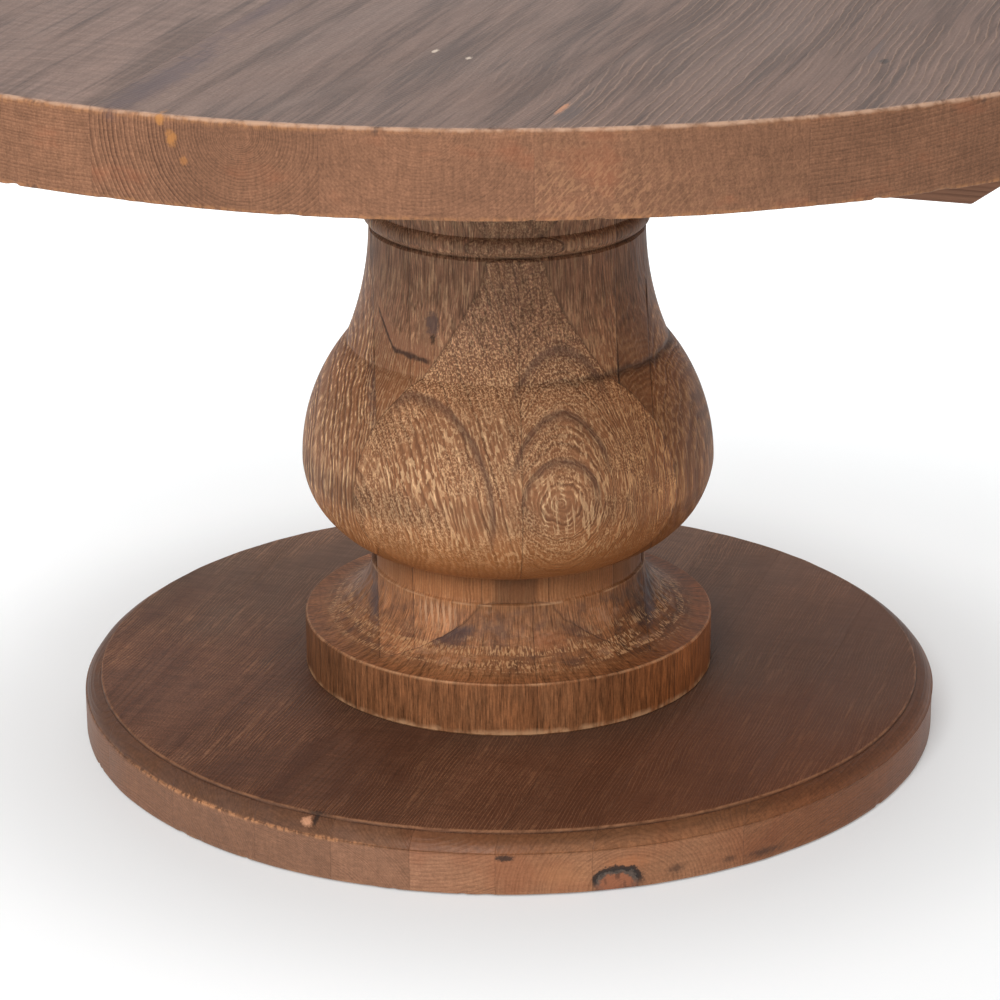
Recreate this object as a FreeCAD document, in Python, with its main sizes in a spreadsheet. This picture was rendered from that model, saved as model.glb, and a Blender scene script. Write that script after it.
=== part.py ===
"""Round pedestal table: a plank top on two battens, a turned glued-up column and a round plank base.

Frame: millimetres, +Z up, origin on the floor under the column's axis. The boards of the top and of
the base run along Y and the battens run along X. The column's blank is turned about Z by column_yaw,
as the maker set it on the base.
"""
import FreeCAD, Part
import math
import os

import Sketcher

doc = FreeCAD.newDocument("pedestal_table")
Vector = FreeCAD.Vector

SIZES = {
    # heights above the floor
    "glide_stand": 1.5,
    "base_side_top": 43.5,
    "base_round_top": 53.5,
    "base_top": 56.0,
    "plinth_top": 107.0,
    "cove_top": 159.0,
    "belly_bottom": 184.0,
    "belly_widest": 260.0,
    "crease_height": 378.0,
    "neck_top": 484.0,
    "groove_height": 488.0,
    "bead_bottom": 491.0,
    "bead_top": 507.0,
    "capital_cove_top": 586.0,
    "plate_bottom": 644.0,
    "top_bottom": 687.0,
    "top_edge_low": 690.0,
    "top_edge_high": 752.0,
    "table_height": 755.0,
    # radii of the turned outlines
    "base_radius": 405.0,
    "base_flat_radius": 390.0,
    "plinth_radius": 194.0,
    "cove_radius": 129.0,
    "band_radius": 125.0,
    "belly_foot_radius": 127.0,
    "belly_radius": 193.4,
    "crease_radius": 151.0,
    "neck_foot_radius": 149.5,
    "neck_radius": 128.0,
    "groove_radius": 125.0,
    "bead_radius": 129.0,
    "capital_cove_foot": 128.0,
    "capital_cove_head": 180.0,
    "capital_radius": 188.0,
    "top_flat_radius": 697.0,
    "top_radius": 700.0,
    # radii of the arcs between those points
    "base_round_arc": 13.0,
    "foot_cove_arc": 60.0,
    "belly_low_arc": 86.0,
    "belly_high_arc": 180.0,
    "neck_arc": 290.0,
    "bead_arc": 10.0,
    "capital_cove_arc": 105.0,
    # the glued-up column
    "column_yaw": 20.5,
    "core_half": 125.0,
    "core_seam_1": -93.0,
    "core_seam_2": -31.0,
    "core_seam_3": 31.0,
    "core_seam_4": 93.0,
    "block_half": 200.0,
    "belly_seam": 3.0,
    "foot_seam": 16.0,
    # glue lines between the boards, across X
    "top_seam_1": -585.0,
    "top_seam_2": -440.0,
    "top_seam_3": -275.0,
    "top_seam_4": -100.0,
    "top_seam_5": 78.0,
    "top_seam_6": 229.0,
    "top_seam_7": 408.0,
    "top_seam_8": 560.0,
    "base_seam_1": -300.0,
    "base_seam_2": -205.0,
    "base_seam_3": -111.0,
    "base_seam_4": -35.0,
    "base_seam_5": 37.0,
    "base_seam_6": 110.0,
    "base_seam_7": 188.0,
    "base_seam_8": 300.0,
    # underframe
    "batten_width": 90.0,
    "batten_offset": 331.0,
    "batten_reach": 552.0,
    "batten_bevel": 59.0,
    "plate_half": 220.0,
    "plate_chamfer": 12.0,
    # fasteners
    "dowel_radius": 6.0,
    "dowel_length": 60.0,
    "top_dowel_spacing": 210.0,
    "top_dowel_margin": 90.0,
    "base_dowel_spacing": 150.0,
    "base_dowel_margin": 45.0,
    "rod_radius": 8.0,
    "rod_washer_radius": 17.0,
    "rod_washer_height": 3.0,
    "rod_nut_flats": 24.0,
    "rod_nut_height": 13.0,
    "rod_beyond_nut": 3.0,
    "rod_pocket": 22.0,
    "rod_pocket_radius": 20.4,
    "lag_radius": 5.0,
    "lag_place": 70.0,
    "lag_length": 100.0,
    "lag_head_flats": 17.0,
    "lag_head_height": 7.0,
    "lag_washer_radius": 11.0,
    "lag_washer_height": 2.0,
    "lag_pocket": 14.0,
    "lag_pocket_radius": 13.2,
    "bolt_radius": 4.0,
    "bolt_length": 65.0,
    "bolt_head_flats": 13.0,
    "bolt_head_height": 5.5,
    "bolt_washer_radius": 10.0,
    "bolt_washer_height": 2.0,
    "bolt_corner": 190.0,
    "bolt_side": 75.0,
    "insert_radius": 7.0,
    "insert_length": 25.0,
    "screw_radius": 3.0,
    "screw_length": 80.0,
    "screw_head_radius": 6.0,
    "screw_head_height": 4.0,
    "screw_seam_margin": 30.0,
    "screw_end_margin": 20.0,
    "glide_radius": 14.0,
    "glide_recess": 4.0,
    "glide_place": 360.0,
    "glide_screw_radius": 2.0,
    "glide_screw_length": 25.0,
    "glide_screw_head": 4.0,
}

HEX_CORNER_PER_FLATS = 1 / math.sqrt(3)
GLIDE_COUNT = 6
TOP_SEAMS = ["top_seam_%d" % i for i in range(1, 9)]
BASE_SEAMS = ["base_seam_%d" % i for i in range(1, 9)]
CORE_SEAMS = ["core_seam_%d" % i for i in range(1, 5)]


def make_sheet():
    """Put every driving size in a spreadsheet, one row each, under its own alias."""
    sheet = doc.addObject("Spreadsheet::Sheet", "Sizes")
    for row, (name, value) in enumerate(SIZES.items(), start=1):
        sheet.set("A%d" % row, name)
        sheet.set("B%d" % row, str(value))
        sheet.setAlias("B%d" % row, name)
    doc.recompute()
    return sheet


sheet = make_sheet()
kept = []


def size(name):
    return float(sheet.get(name))


def formula(text):
    """Put the sheet's name before each alias in a formula, leaving numbers and operators alone."""
    words = text.replace("(", " ( ").replace(")", " ) ").split()
    return " ".join("Sizes." + word if word in SIZES else word for word in words)


def bind(item, **formulas):
    """Bind properties to the sheet. A double underscore in a keyword stands for a dot."""
    for prop, text in formulas.items():
        item.setExpression(prop.replace("__", "."), formula(text))
    return item


def keep(item, label):
    """Give a finished sub-part the label that names its file."""
    item.Label = label
    kept.append(item)
    return item


# ---- turned shapes -------------------------------------------------------------------------------

def arc_middle(start, end, radius, side):
    """The middle point of an arc through two points; side is +1 to bulge left of the way along."""
    chord = end - start
    half = chord.Length / 2
    rise = radius - math.sqrt(radius * radius - half * half)
    normal = Vector(-chord.y, chord.x, 0).normalize()
    return (start + end) * 0.5 + normal * (side * rise)


def turned_body(name, outline):
    """Turn an outline about Z. Each outline entry is (radius, height, arc radius or None, side)."""
    body = doc.addObject("PartDesign::Body", name)
    sketch = body.newObject("Sketcher::SketchObject", name + "_outline")
    plane = [item for item in body.Origin.OriginFeatures if item.Role == "XZ_Plane"][0]
    sketch.AttachmentSupport = (plane, [""])
    sketch.MapMode = "FlatFace"
    points = [Vector(size(r) if r else 0.0, size(z), 0) for r, z, _, _ in outline]
    for index, (_, _, arc, side) in enumerate(outline):
        start = points[index]
        end = points[(index + 1) % len(points)]
        if arc:
            sketch.addGeometry(Part.Arc(start, arc_middle(start, end, size(arc), side), end), False)
        else:
            sketch.addGeometry(Part.LineSegment(start, end), False)
    constrain_outline(sketch, outline, points)
    revolution = body.newObject("PartDesign::Revolution", name + "_turning")
    revolution.Profile = sketch
    revolution.ReferenceAxis = (sketch, ["V_Axis"])
    revolution.Angle = 360.0
    body.Tip = revolution
    return body


def end_codes(sketch, index, start, end):
    """Which end of a piece of outline is its start: an arc drawn clockwise is stored the other way."""
    first = sketch.getPoint(index, 1)
    return (1, 2) if (first - start).Length < (first - end).Length else (2, 1)


def constrain_outline(sketch, outline, points):
    """Join the outline's pieces and tie each corner and each arc's radius to the sheet."""
    count = len(outline)
    codes = [end_codes(sketch, i, points[i], points[(i + 1) % count]) for i in range(count)]
    for index, (r_name, z_name, arc, _) in enumerate(outline):
        following = (index + 1) % count
        sketch.addConstraint(
            Sketcher.Constraint("Coincident", index, codes[index][1], following, codes[following][0]))
        if r_name:
            number = sketch.addConstraint(
                Sketcher.Constraint("DistanceX", -1, 1, index, codes[index][0], points[index].x))
            sketch.setExpression("Constraints[%d]" % number, formula(r_name))
        else:
            sketch.addConstraint(Sketcher.Constraint("PointOnObject", index, codes[index][0], -2))
        number = sketch.addConstraint(
            Sketcher.Constraint("DistanceY", -1, 1, index, codes[index][0], points[index].y))
        sketch.setExpression("Constraints[%d]" % number, formula(z_name))
        if arc:
            number = sketch.addConstraint(Sketcher.Constraint("Radius", index, size(arc)))
            sketch.setExpression("Constraints[%d]" % number, formula(arc))


def column_outline():
    """Plinth, cove, band, belly, neck, groove, bead, capital cove and capital block, from below."""
    return [
        (None, "base_top", None, 0),
        ("plinth_radius", "base_top", None, 0),
        ("plinth_radius", "plinth_top", "foot_cove_arc", 1),
        ("cove_radius", "cove_top", None, 0),
        ("band_radius", "cove_top", None, 0),
        ("band_radius", "belly_bottom", None, 0),
        ("belly_foot_radius", "belly_bottom", "belly_low_arc", -1),
        ("belly_radius", "belly_widest", "belly_high_arc", -1),
        ("crease_radius", "crease_height", None, 0),
        ("neck_foot_radius", "crease_height", "neck_arc", 1),
        ("neck_radius", "neck_top", None, 0),
        ("groove_radius", "groove_height", None, 0),
        ("bead_radius", "bead_bottom", "bead_arc", -1),
        ("bead_radius", "bead_top", None, 0),
        ("capital_cove_foot", "bead_top", "capital_cove_arc", 1),
        ("capital_cove_head", "capital_cove_top", None, 0),
        ("capital_radius", "capital_cove_top", None, 0),
        ("capital_radius", "plate_bottom", None, 0),
        (None, "plate_bottom", None, 0),
    ]


def base_outline():
    """A flat disc with an upright side, a rounded-over edge and a small step up to its flat top."""
    return [
        (None, "glide_stand", None, 0),
        ("base_radius", "glide_stand", None, 0),
        ("base_radius", "base_side_top", "base_round_arc", -1),
        ("base_flat_radius", "base_round_top", None, 0),
        ("base_flat_radius", "base_top", None, 0),
        (None, "base_top", None, 0),
    ]


def top_outline():
    """A thick flat disc whose two edges are eased with a small chamfer."""
    return [
        (None, "top_bottom", None, 0),
        ("top_flat_radius", "top_bottom", None, 0),
        ("top_radius", "top_edge_low", None, 0),
        ("top_radius", "top_edge_high", None, 0),
        ("top_flat_radius", "table_height", None, 0),
        (None, "table_height", None, 0),
    ]


# ---- plain solids --------------------------------------------------------------------------------

def block(name, x_low, x_high, y_low, y_high, z_low, z_high):
    """A rectangular block between six formulas."""
    item = doc.addObject("Part::Box", name)
    return bind(item,
                Length="( %s ) - ( %s )" % (x_high, x_low),
                Width="( %s ) - ( %s )" % (y_high, y_low),
                Height="( %s ) - ( %s )" % (z_high, z_low),
                Placement__Base__x=x_low, Placement__Base__y=y_low, Placement__Base__z=z_low)


def rod(name, radius, height, z_low, x=None, y=None):
    """An upright cylinder; x and y are plain places worked out from the sheet."""
    item = doc.addObject("Part::Cylinder", name)
    bind(item, Radius=radius, Height=height, Placement__Base__z=z_low)
    if x is not None:
        item.Placement.Base = Vector(x, y, 0)
    return item


def hexagon(name, flats, height, z_low, x=0.0, y=0.0):
    """A hexagonal head or nut, given by its width across the flats."""
    item = doc.addObject("Part::Prism", name)
    item.Polygon = 6
    item.Placement.Base = Vector(x, y, 0)
    return bind(item, Circumradius="%s * %.6f" % (flats, HEX_CORNER_PER_FLATS), Height=height,
                Placement__Base__z=z_low)


def cone(name, low_radius, high_radius, height, z_low, x, y):
    """A countersunk head."""
    item = doc.addObject("Part::Cone", name)
    item.Placement.Base = Vector(x, y, 0)
    return bind(item, Radius1=low_radius, Radius2=high_radius, Height=height, Placement__Base__z=z_low)


def common(name, first, second):
    item = doc.addObject("Part::Common", name)
    item.Base = first
    item.Tool = second
    return item


def cut(name, base, tool):
    item = doc.addObject("Part::Cut", name)
    item.Base = base
    item.Tool = tool
    return item


def fuse(name, items):
    item = doc.addObject("Part::MultiFuse", name)
    item.Shapes = items
    return item


def group(name, items):
    """Separate solids that share one node."""
    item = doc.addObject("Part::Compound", name)
    item.Links = items
    return item


def yawed(item):
    """Turn a finished shape about Z with the column."""
    item.Placement = FreeCAD.Placement(Vector(0, 0, 0), FreeCAD.Rotation(Vector(0, 0, 1), 1))
    item.setExpression("Placement.Rotation.Angle", "Sizes.column_yaw * 1 deg")
    return item


# ---- places of the fasteners ---------------------------------------------------------------------

def column_screw_places():
    """The four corners of a square inside the column's core."""
    place = size("lag_place")
    return [(x * place, y * place) for x in (-1, 1) for y in (-1, 1)]


def plate_bolt_places():
    """The plate's four corners, and one pair along each of two sides."""
    corner = size("bolt_corner")
    side = size("bolt_side")
    corners = [(x * corner, y * corner) for x in (-1, 1) for y in (-1, 1)]
    sides = [(x * corner, y * side) for x in (-1, 1) for y in (-1, 1)]
    return corners + sides


def batten_screw_places():
    """Two rows, with one screw through each batten into each plank that it crosses."""
    seams = [size(name) for name in TOP_SEAMS]
    reach = size("batten_reach") - size("batten_bevel")
    middles = [(a + b) / 2 for a, b in zip(seams, seams[1:])]
    inner = [x for x in middles if abs(x) < reach - size("screw_seam_margin")]
    end = reach - size("screw_end_margin")
    ends = [-end, end]
    return [(x, y * size("batten_offset")) for x in ends + inner for y in (-1, 1)]


def glide_places():
    """Six places evenly spaced round the base, with none straight ahead."""
    step = 2 * math.pi / GLIDE_COUNT
    angles = [(i + 0.5) * step for i in range(GLIDE_COUNT)]
    place = size("glide_place")
    return [(place * math.cos(a), place * math.sin(a)) for a in angles]


def dowel_places(seam_names, disc):
    """Dowels across each glue line of a disc, evenly spaced about the middle and clear of the edge."""
    spacing = size(disc + "_dowel_spacing")
    places = []
    for seam in [size(name) for name in seam_names]:
        half_chord = math.sqrt(size(disc + "_radius") ** 2 - seam ** 2) - size(disc + "_dowel_margin")
        count = max(1, int(half_chord // spacing))
        for i in range(-count, count):
            places.append((seam, (i + 0.5) * spacing))
    return places


# ---- fasteners -----------------------------------------------------------------------------------

def dowels(name, places, height):
    """Beech dowels lying along X, with their middles on the glue lines."""
    items = []
    for index, (x, y) in enumerate(places):
        dowel = doc.addObject("Part::Cylinder", "%s_%d" % (name, index + 1))
        bind(dowel, Radius="dowel_radius", Height="dowel_length")
        turn = FreeCAD.Rotation(Vector(0, 1, 0), 90)
        dowel.Placement = FreeCAD.Placement(Vector(x - size("dowel_length") / 2, y, height), turn)
        items.append(dowel)
    return items


def washers(name, places, outer, inner, height, z_low):
    """Flat rings."""
    items = []
    for index, (x, y) in enumerate(places):
        disc = rod("%s_disc_%d" % (name, index + 1), outer, height, z_low, x, y)
        hole = rod("%s_hole_%d" % (name, index + 1), inner, height, z_low, x, y)
        items.append(cut("%s_%d" % (name, index + 1), disc, hole))
    return items


def lag_screws(z_low):
    """Hexagon-headed lag screws up through the base into the column's core."""
    items = []
    for index, (x, y) in enumerate(column_screw_places()):
        head = hexagon("lag_head_%d" % index, "lag_head_flats", "lag_head_height",
                       z_low + " - lag_washer_height - lag_head_height", x, y)
        shank = rod("lag_shank_%d" % index, "lag_radius", "lag_length + lag_washer_height",
                    z_low + " - lag_washer_height", x, y)
        items.append(fuse("lag_%d" % index, [head, shank]))
    return items


def countersunk_up(name, places, z_head, length, radius, head_radius, head_height):
    """Countersunk screws driven upwards, with their flat heads at z_head."""
    items = []
    for index, (x, y) in enumerate(places):
        head = cone("%s_head_%d" % (name, index), head_radius, radius, head_height, z_head, x, y)
        shank = rod("%s_shank_%d" % (name, index), radius, length, z_head, x, y)
        items.append(fuse("%s_%d" % (name, index), [head, shank]))
    return items


def countersunk_down(name, places, z_head, length, radius, head_radius, head_height):
    """Countersunk screws driven downwards, with their flat heads at z_head."""
    items = []
    for index, (x, y) in enumerate(places):
        head = cone("%s_head_%d" % (name, index), radius, head_radius, head_height,
                    z_head + " - " + head_height, x, y)
        shank = rod("%s_shank_%d" % (name, index), radius, length, z_head + " - " + length, x, y)
        items.append(fuse("%s_%d" % (name, index), [head, shank]))
    return items


def plate_bolts():
    """Hexagon bolts up through the plate into the threaded inserts in the planks."""
    items = []
    for index, (x, y) in enumerate(plate_bolt_places()):
        head = hexagon("bolt_head_%d" % index, "bolt_head_flats", "bolt_head_height",
                       "plate_bottom - bolt_washer_height - bolt_head_height", x, y)
        shank = rod("bolt_shank_%d" % index, "bolt_radius", "bolt_length",
                    "plate_bottom - bolt_washer_height", x, y)
        items.append(fuse("bolt_%d" % index, [head, shank]))
    return items


# ---- the table -----------------------------------------------------------------------------------

def make_fasteners():
    """Build every fastener, keep it as a node, and return the solids that the wood is drilled with."""
    top_middle = (size("top_bottom") + size("table_height")) / 2
    base_middle = (size("glide_stand") + size("base_top")) / 2
    top_dowels = dowels("top_dowel", dowel_places(TOP_SEAMS, "top"), top_middle)
    base_dowels = dowels("base_dowel", dowel_places(BASE_SEAMS, "base"), base_middle)
    keep(group("top_dowel_group", top_dowels), "top_dowels")
    keep(group("base_dowel_group", base_dowels), "base_dowels")

    rod_low = "glide_stand + rod_pocket - rod_washer_height - rod_nut_height - rod_beyond_nut"
    rod_high = "top_bottom - rod_pocket + rod_washer_height + rod_nut_height + rod_beyond_nut"
    tie_rod = rod("tie_rod_bar", "rod_radius", "( %s ) - ( %s )" % (rod_high, rod_low), rod_low)
    keep(tie_rod, "tie_rod")
    low_washer_z = "glide_stand + rod_pocket - rod_washer_height"
    high_washer_z = "top_bottom - rod_pocket"
    rod_washers = []
    rod_nuts = []
    for place, washer_z, nut_z in (
            ("low", low_washer_z, low_washer_z + " - rod_nut_height"),
            ("high", high_washer_z, high_washer_z + " + rod_washer_height")):
        rod_washers += washers("rod_washer_" + place, [(0, 0)], "rod_washer_radius", "rod_radius",
                               "rod_washer_height", washer_z)
        nut = hexagon("rod_nut_body_" + place, "rod_nut_flats", "rod_nut_height", nut_z)
        bore = rod("rod_nut_bore_" + place, "rod_radius", "rod_nut_height", nut_z)
        rod_nuts.append(cut("rod_nut_" + place, nut, bore))
    keep(group("rod_washer_group", rod_washers), "tie_rod_washers")
    keep(group("rod_nut_group", rod_nuts), "tie_rod_nuts")

    lag_seat = "glide_stand + lag_pocket"
    keep(yawed(group("lag_group", lag_screws(lag_seat))), "base_lag_screws")
    lag_rings = washers("lag_washer", column_screw_places(), "lag_washer_radius", "lag_radius",
                        "lag_washer_height", lag_seat + " - lag_washer_height")
    keep(yawed(group("lag_washer_group", lag_rings)), "base_lag_washers")
    column_screws = countersunk_down("column_screw", column_screw_places(), "top_bottom", "lag_length",
                                     "lag_radius", "2 * lag_radius", "lag_radius")
    keep(yawed(group("column_screw_group", column_screws)), "column_head_screws")

    keep(group("bolt_group", plate_bolts()), "plate_bolts")
    bolt_rings = washers("bolt_washer", plate_bolt_places(), "bolt_washer_radius", "bolt_radius",
                         "bolt_washer_height", "plate_bottom - bolt_washer_height")
    keep(group("bolt_washer_group", bolt_rings), "plate_bolt_washers")
    inserts = washers("insert", plate_bolt_places(), "insert_radius", "bolt_radius", "insert_length",
                      "top_bottom")
    keep(group("insert_group", inserts), "threaded_inserts")
    batten_screws = countersunk_up("batten_screw", batten_screw_places(), "plate_bottom",
                                   "screw_length", "screw_radius", "screw_head_radius",
                                   "screw_head_height")
    keep(group("batten_screw_group", batten_screws), "batten_screws")

    glide_screws = countersunk_up("glide_screw", glide_places(), "glide_stand", "glide_screw_length",
                                  "glide_screw_radius", "glide_screw_head", "glide_screw_head")
    keep(group("glide_screw_group", glide_screws), "glide_screws")
    return top_dowels, base_dowels, batten_screws, glide_screws


def make_glides(glide_screws):
    """Nylon discs let into the base's underside, each held by one countersunk screw."""
    discs = [rod("glide_disc_%d" % i, "glide_radius", "glide_stand + glide_recess", "0", x, y)
             for i, (x, y) in enumerate(glide_places())]
    wells = [rod("glide_well_%d" % i, "glide_screw_head", "glide_stand", "0", x, y)
             for i, (x, y) in enumerate(glide_places())]
    glides = [cut("glide_%d" % i, disc, fuse("glide_drill_%d" % i, [well, screw]))
              for i, (disc, well, screw) in enumerate(zip(discs, wells, glide_screws))]
    keep(group("glide_group", glides), "floor_glides")
    return discs


def make_boards(label, seams, half, z_low, z_high, disc, drill):
    """Cut a turned disc into boards along its glue lines, and drill them."""
    edges = ["- " + half] + seams + [half]
    for index, (low, high) in enumerate(zip(edges, edges[1:])):
        name = "%s_%d" % (label, index + 1)
        board = block(name + "_blank", low, high, "- " + half, half, z_low, z_high)
        keep(cut(name + "_drilled", common(name + "_round", board, disc), drill), name)


def make_top(dowel_items, screw_items):
    disc = turned_body("top_disc", top_outline())
    sockets = [rod("insert_socket_%d" % i, "insert_radius", "insert_length", "top_bottom", x, y)
               for i, (x, y) in enumerate(plate_bolt_places())]
    drill = fuse("top_drill", dowel_items + screw_items + sockets)
    make_boards("top_plank", TOP_SEAMS, "top_radius", "top_bottom", "table_height", disc, drill)


def make_base(dowel_items, glide_discs, glide_screws):
    disc = turned_body("base_disc", base_outline())
    lag_holes = []
    for index, (x, y) in enumerate(column_screw_places()):
        lag_holes.append(rod("lag_pocket_%d" % index, "lag_pocket_radius", "lag_pocket",
                             "glide_stand", x, y))
        lag_holes.append(rod("lag_clearance_%d" % index, "lag_radius", "base_top", "0", x, y))
    rod_pocket = rod("rod_pocket_low", "rod_pocket_radius", "rod_pocket", "glide_stand")
    rod_hole = rod("rod_hole_low", "rod_radius", "base_top", "0")
    drill = fuse("base_drill", dowel_items + glide_discs + glide_screws
                 + [rod_pocket, rod_hole, yawed(fuse("lag_drill", lag_holes))])
    make_boards("base_board", BASE_SEAMS, "base_radius", "glide_stand", "base_top", disc, drill)


def make_core(column):
    """Five upright boards glued into a square core, with the tie rod through the middle one."""
    holes = [rod("core_bore", "rod_radius", "table_height", "0")]
    for index, (x, y) in enumerate(column_screw_places()):
        holes.append(rod("core_low_hole_%d" % index, "lag_radius", "lag_length",
                         "glide_stand + lag_pocket", x, y))
        holes.append(rod("core_high_hole_%d" % index, "lag_radius", "lag_length",
                         "top_bottom - lag_length", x, y))
    drill = fuse("core_drill", holes)
    edges = ["- core_half"] + CORE_SEAMS + ["core_half"]
    for index, (low, high) in enumerate(zip(edges, edges[1:])):
        name = "core_board_%d" % (index + 1)
        blank = block(name + "_blank", low, high, "- core_half", "core_half", "base_top", "plate_bottom")
        turned = common(name + "_turned", blank, column)
        keep(yawed(cut(name + "_drilled", turned, drill)), name)


def make_face_blocks(label, column, z_low, z_high, seam):
    """Blocks glued to the four faces of the core; the front and back are split where seam is given."""
    faces = {
        "left": ("- block_half", "- core_half", "- core_half", "core_half"),
        "right": ("core_half", "block_half", "- core_half", "core_half"),
    }
    for side, low, high in (("front", "- block_half", "- core_half"), ("back", "core_half", "block_half")):
        if seam:
            faces[side + "_left"] = ("- block_half", seam, low, high)
            faces[side + "_right"] = (seam, "block_half", low, high)
        else:
            faces[side] = ("- block_half", "block_half", low, high)
    for side, edges in faces.items():
        name = "%s_block_%s" % (label, side)
        blank = block(name + "_blank", *edges, z_low, z_high)
        keep(yawed(common(name + "_turned", blank, column)), name)


def make_column():
    column = turned_body("column_turning", column_outline())
    make_core(column)
    make_face_blocks("foot", column, "base_top", "cove_top", "foot_seam")
    make_face_blocks("belly", column, "belly_bottom", "groove_height", "belly_seam")
    make_face_blocks("capital", column, "groove_height", "plate_bottom", None)


def make_batten(label, side, screw_items):
    """A batten along X whose underside is bevelled up to the top at both ends."""
    body = doc.addObject("PartDesign::Body", label + "_bar")
    sketch = body.newObject("Sketcher::SketchObject", label + "_side_view")
    plane = [item for item in body.Origin.OriginFeatures if item.Role == "XZ_Plane"][0]
    sketch.AttachmentSupport = (plane, [""])
    sketch.MapMode = "FlatFace"
    reach = "batten_reach"
    flat = "( batten_reach - batten_bevel )"
    corners = [("- " + reach, "top_bottom"), ("- " + flat, "plate_bottom"),
               (flat, "plate_bottom"), (reach, "top_bottom")]
    far = size("batten_reach")
    near = far - size("batten_bevel")
    points = [Vector(-far, size("top_bottom"), 0), Vector(-near, size("plate_bottom"), 0),
              Vector(near, size("plate_bottom"), 0), Vector(far, size("top_bottom"), 0)]
    for index, point in enumerate(points):
        sketch.addGeometry(Part.LineSegment(point, points[(index + 1) % 4]), False)
    for index, (x_text, z_text) in enumerate(corners):
        sketch.addConstraint(Sketcher.Constraint("Coincident", index, 2, (index + 1) % 4, 1))
        number = sketch.addConstraint(
            Sketcher.Constraint("DistanceX", -1, 1, index, 1, points[index].x))
        sketch.setExpression("Constraints[%d]" % number, formula(x_text))
        number = sketch.addConstraint(
            Sketcher.Constraint("DistanceY", -1, 1, index, 1, points[index].y))
        sketch.setExpression("Constraints[%d]" % number, formula(z_text))
    pad = body.newObject("PartDesign::Pad", label + "_width")
    pad.Profile = sketch
    pad.Midplane = True
    bind(pad, Length="batten_width")
    body.Tip = pad
    bind(body, Placement__Base__y="%d * batten_offset" % side)
    keep(cut(label + "_drilled", body, fuse(label + "_drill", screw_items)), label)


def make_plate():
    """The square plate on the column's head, bored for the rod, the column's screws and the bolts."""
    slab = block("plate_slab", "- plate_half", "plate_half", "- plate_half", "plate_half",
                 "plate_bottom", "top_bottom")
    holes = [rod("plate_bore", "rod_radius", "table_height", "0"),
             rod("rod_pocket_high", "rod_pocket_radius", "rod_pocket", "top_bottom - rod_pocket")]
    for index, (x, y) in enumerate(plate_bolt_places()):
        holes.append(rod("plate_bolt_hole_%d" % index, "bolt_radius", "top_bottom", "0", x, y))
    screw_shapes = countersunk_down("plate_drill_screw", column_screw_places(), "top_bottom",
                                    "lag_length", "lag_radius", "2 * lag_radius", "lag_radius")
    drill = fuse("plate_drill", holes + [yawed(fuse("plate_screw_drill", screw_shapes))])
    chamfered = doc.addObject("Part::Chamfer", "plate_chamfered")
    chamfered.Base = slab
    doc.recompute()
    low_edges = [i + 1 for i, edge in enumerate(slab.Shape.Edges)
                 if abs(edge.BoundBox.ZMax - size("plate_bottom")) < 1e-6]
    chamfered.Edges = [(i, size("plate_chamfer"), size("plate_chamfer")) for i in low_edges]
    keep(cut("plate_drilled", chamfered, drill), "top_plate")


def check_and_write():
    """Stop on any object that failed, then write one file for each sub-part."""
    doc.recompute()
    for item in doc.Objects:
        if "Invalid" in item.State or "Error" in item.State:
            raise RuntimeError("%s failed: %s" % (item.Label, item.State))
    os.makedirs("parts", exist_ok=True)
    for item in kept:
        shape = item.Shape
        if shape.isNull() or not shape.isValid() or not shape.Solids:
            raise RuntimeError("%s has no valid solid" % item.Label)
        shape.exportStep("parts/%s.step" % item.Label)
        print("%-24s %2d solids %12.1f mm3" % (item.Label, len(shape.Solids), shape.Volume))
    print(len(kept), "nodes")


top_dowel_items, base_dowel_items, batten_screw_items, glide_screw_items = make_fasteners()
glide_disc_items = make_glides(glide_screw_items)
make_top(top_dowel_items, batten_screw_items)
make_base(base_dowel_items, glide_disc_items, glide_screw_items)
make_column()
make_batten("batten_front", -1, batten_screw_items)
make_batten("batten_back", 1, batten_screw_items)
make_plate()
check_and_write()
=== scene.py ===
"""Looks of the round pedestal table: worn, brushed and stained reclaimed wood on a plain pale floor.

Every length is in metres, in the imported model's frame: +Z up, origin on the floor under the column,
boards of the top and base along Y, battens along X. The wooden pieces are new meshes cut from turned
shapes, one for each CAD node; the fasteners keep their CAD meshes.
"""
import math
from functools import reduce

import bmesh
import bpy
import numpy as np
from mathutils import Matrix, Vector


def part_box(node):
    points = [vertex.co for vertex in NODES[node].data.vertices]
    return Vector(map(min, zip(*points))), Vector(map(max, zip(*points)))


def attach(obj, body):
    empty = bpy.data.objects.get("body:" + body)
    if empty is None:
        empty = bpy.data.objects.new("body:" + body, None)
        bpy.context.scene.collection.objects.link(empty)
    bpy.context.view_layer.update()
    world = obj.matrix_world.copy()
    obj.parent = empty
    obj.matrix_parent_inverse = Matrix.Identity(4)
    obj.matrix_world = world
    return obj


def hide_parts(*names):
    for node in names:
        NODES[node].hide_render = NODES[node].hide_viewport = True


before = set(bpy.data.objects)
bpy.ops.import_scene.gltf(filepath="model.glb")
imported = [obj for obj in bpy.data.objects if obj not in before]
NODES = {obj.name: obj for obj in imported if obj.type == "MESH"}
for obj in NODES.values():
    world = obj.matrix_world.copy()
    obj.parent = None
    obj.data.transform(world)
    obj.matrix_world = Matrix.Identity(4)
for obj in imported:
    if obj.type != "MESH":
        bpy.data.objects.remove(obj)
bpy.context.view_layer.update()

MM = 0.001
COLUMN_YAW = math.radians(20.5)
CORE_HALF = 0.125
FINE = 1.0


def level_range(node):
    """The lowest and highest level of one CAD node."""
    low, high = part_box(node)
    return low[2], high[2]


# ---- shader helpers ------------------------------------------------------------------------------

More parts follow.
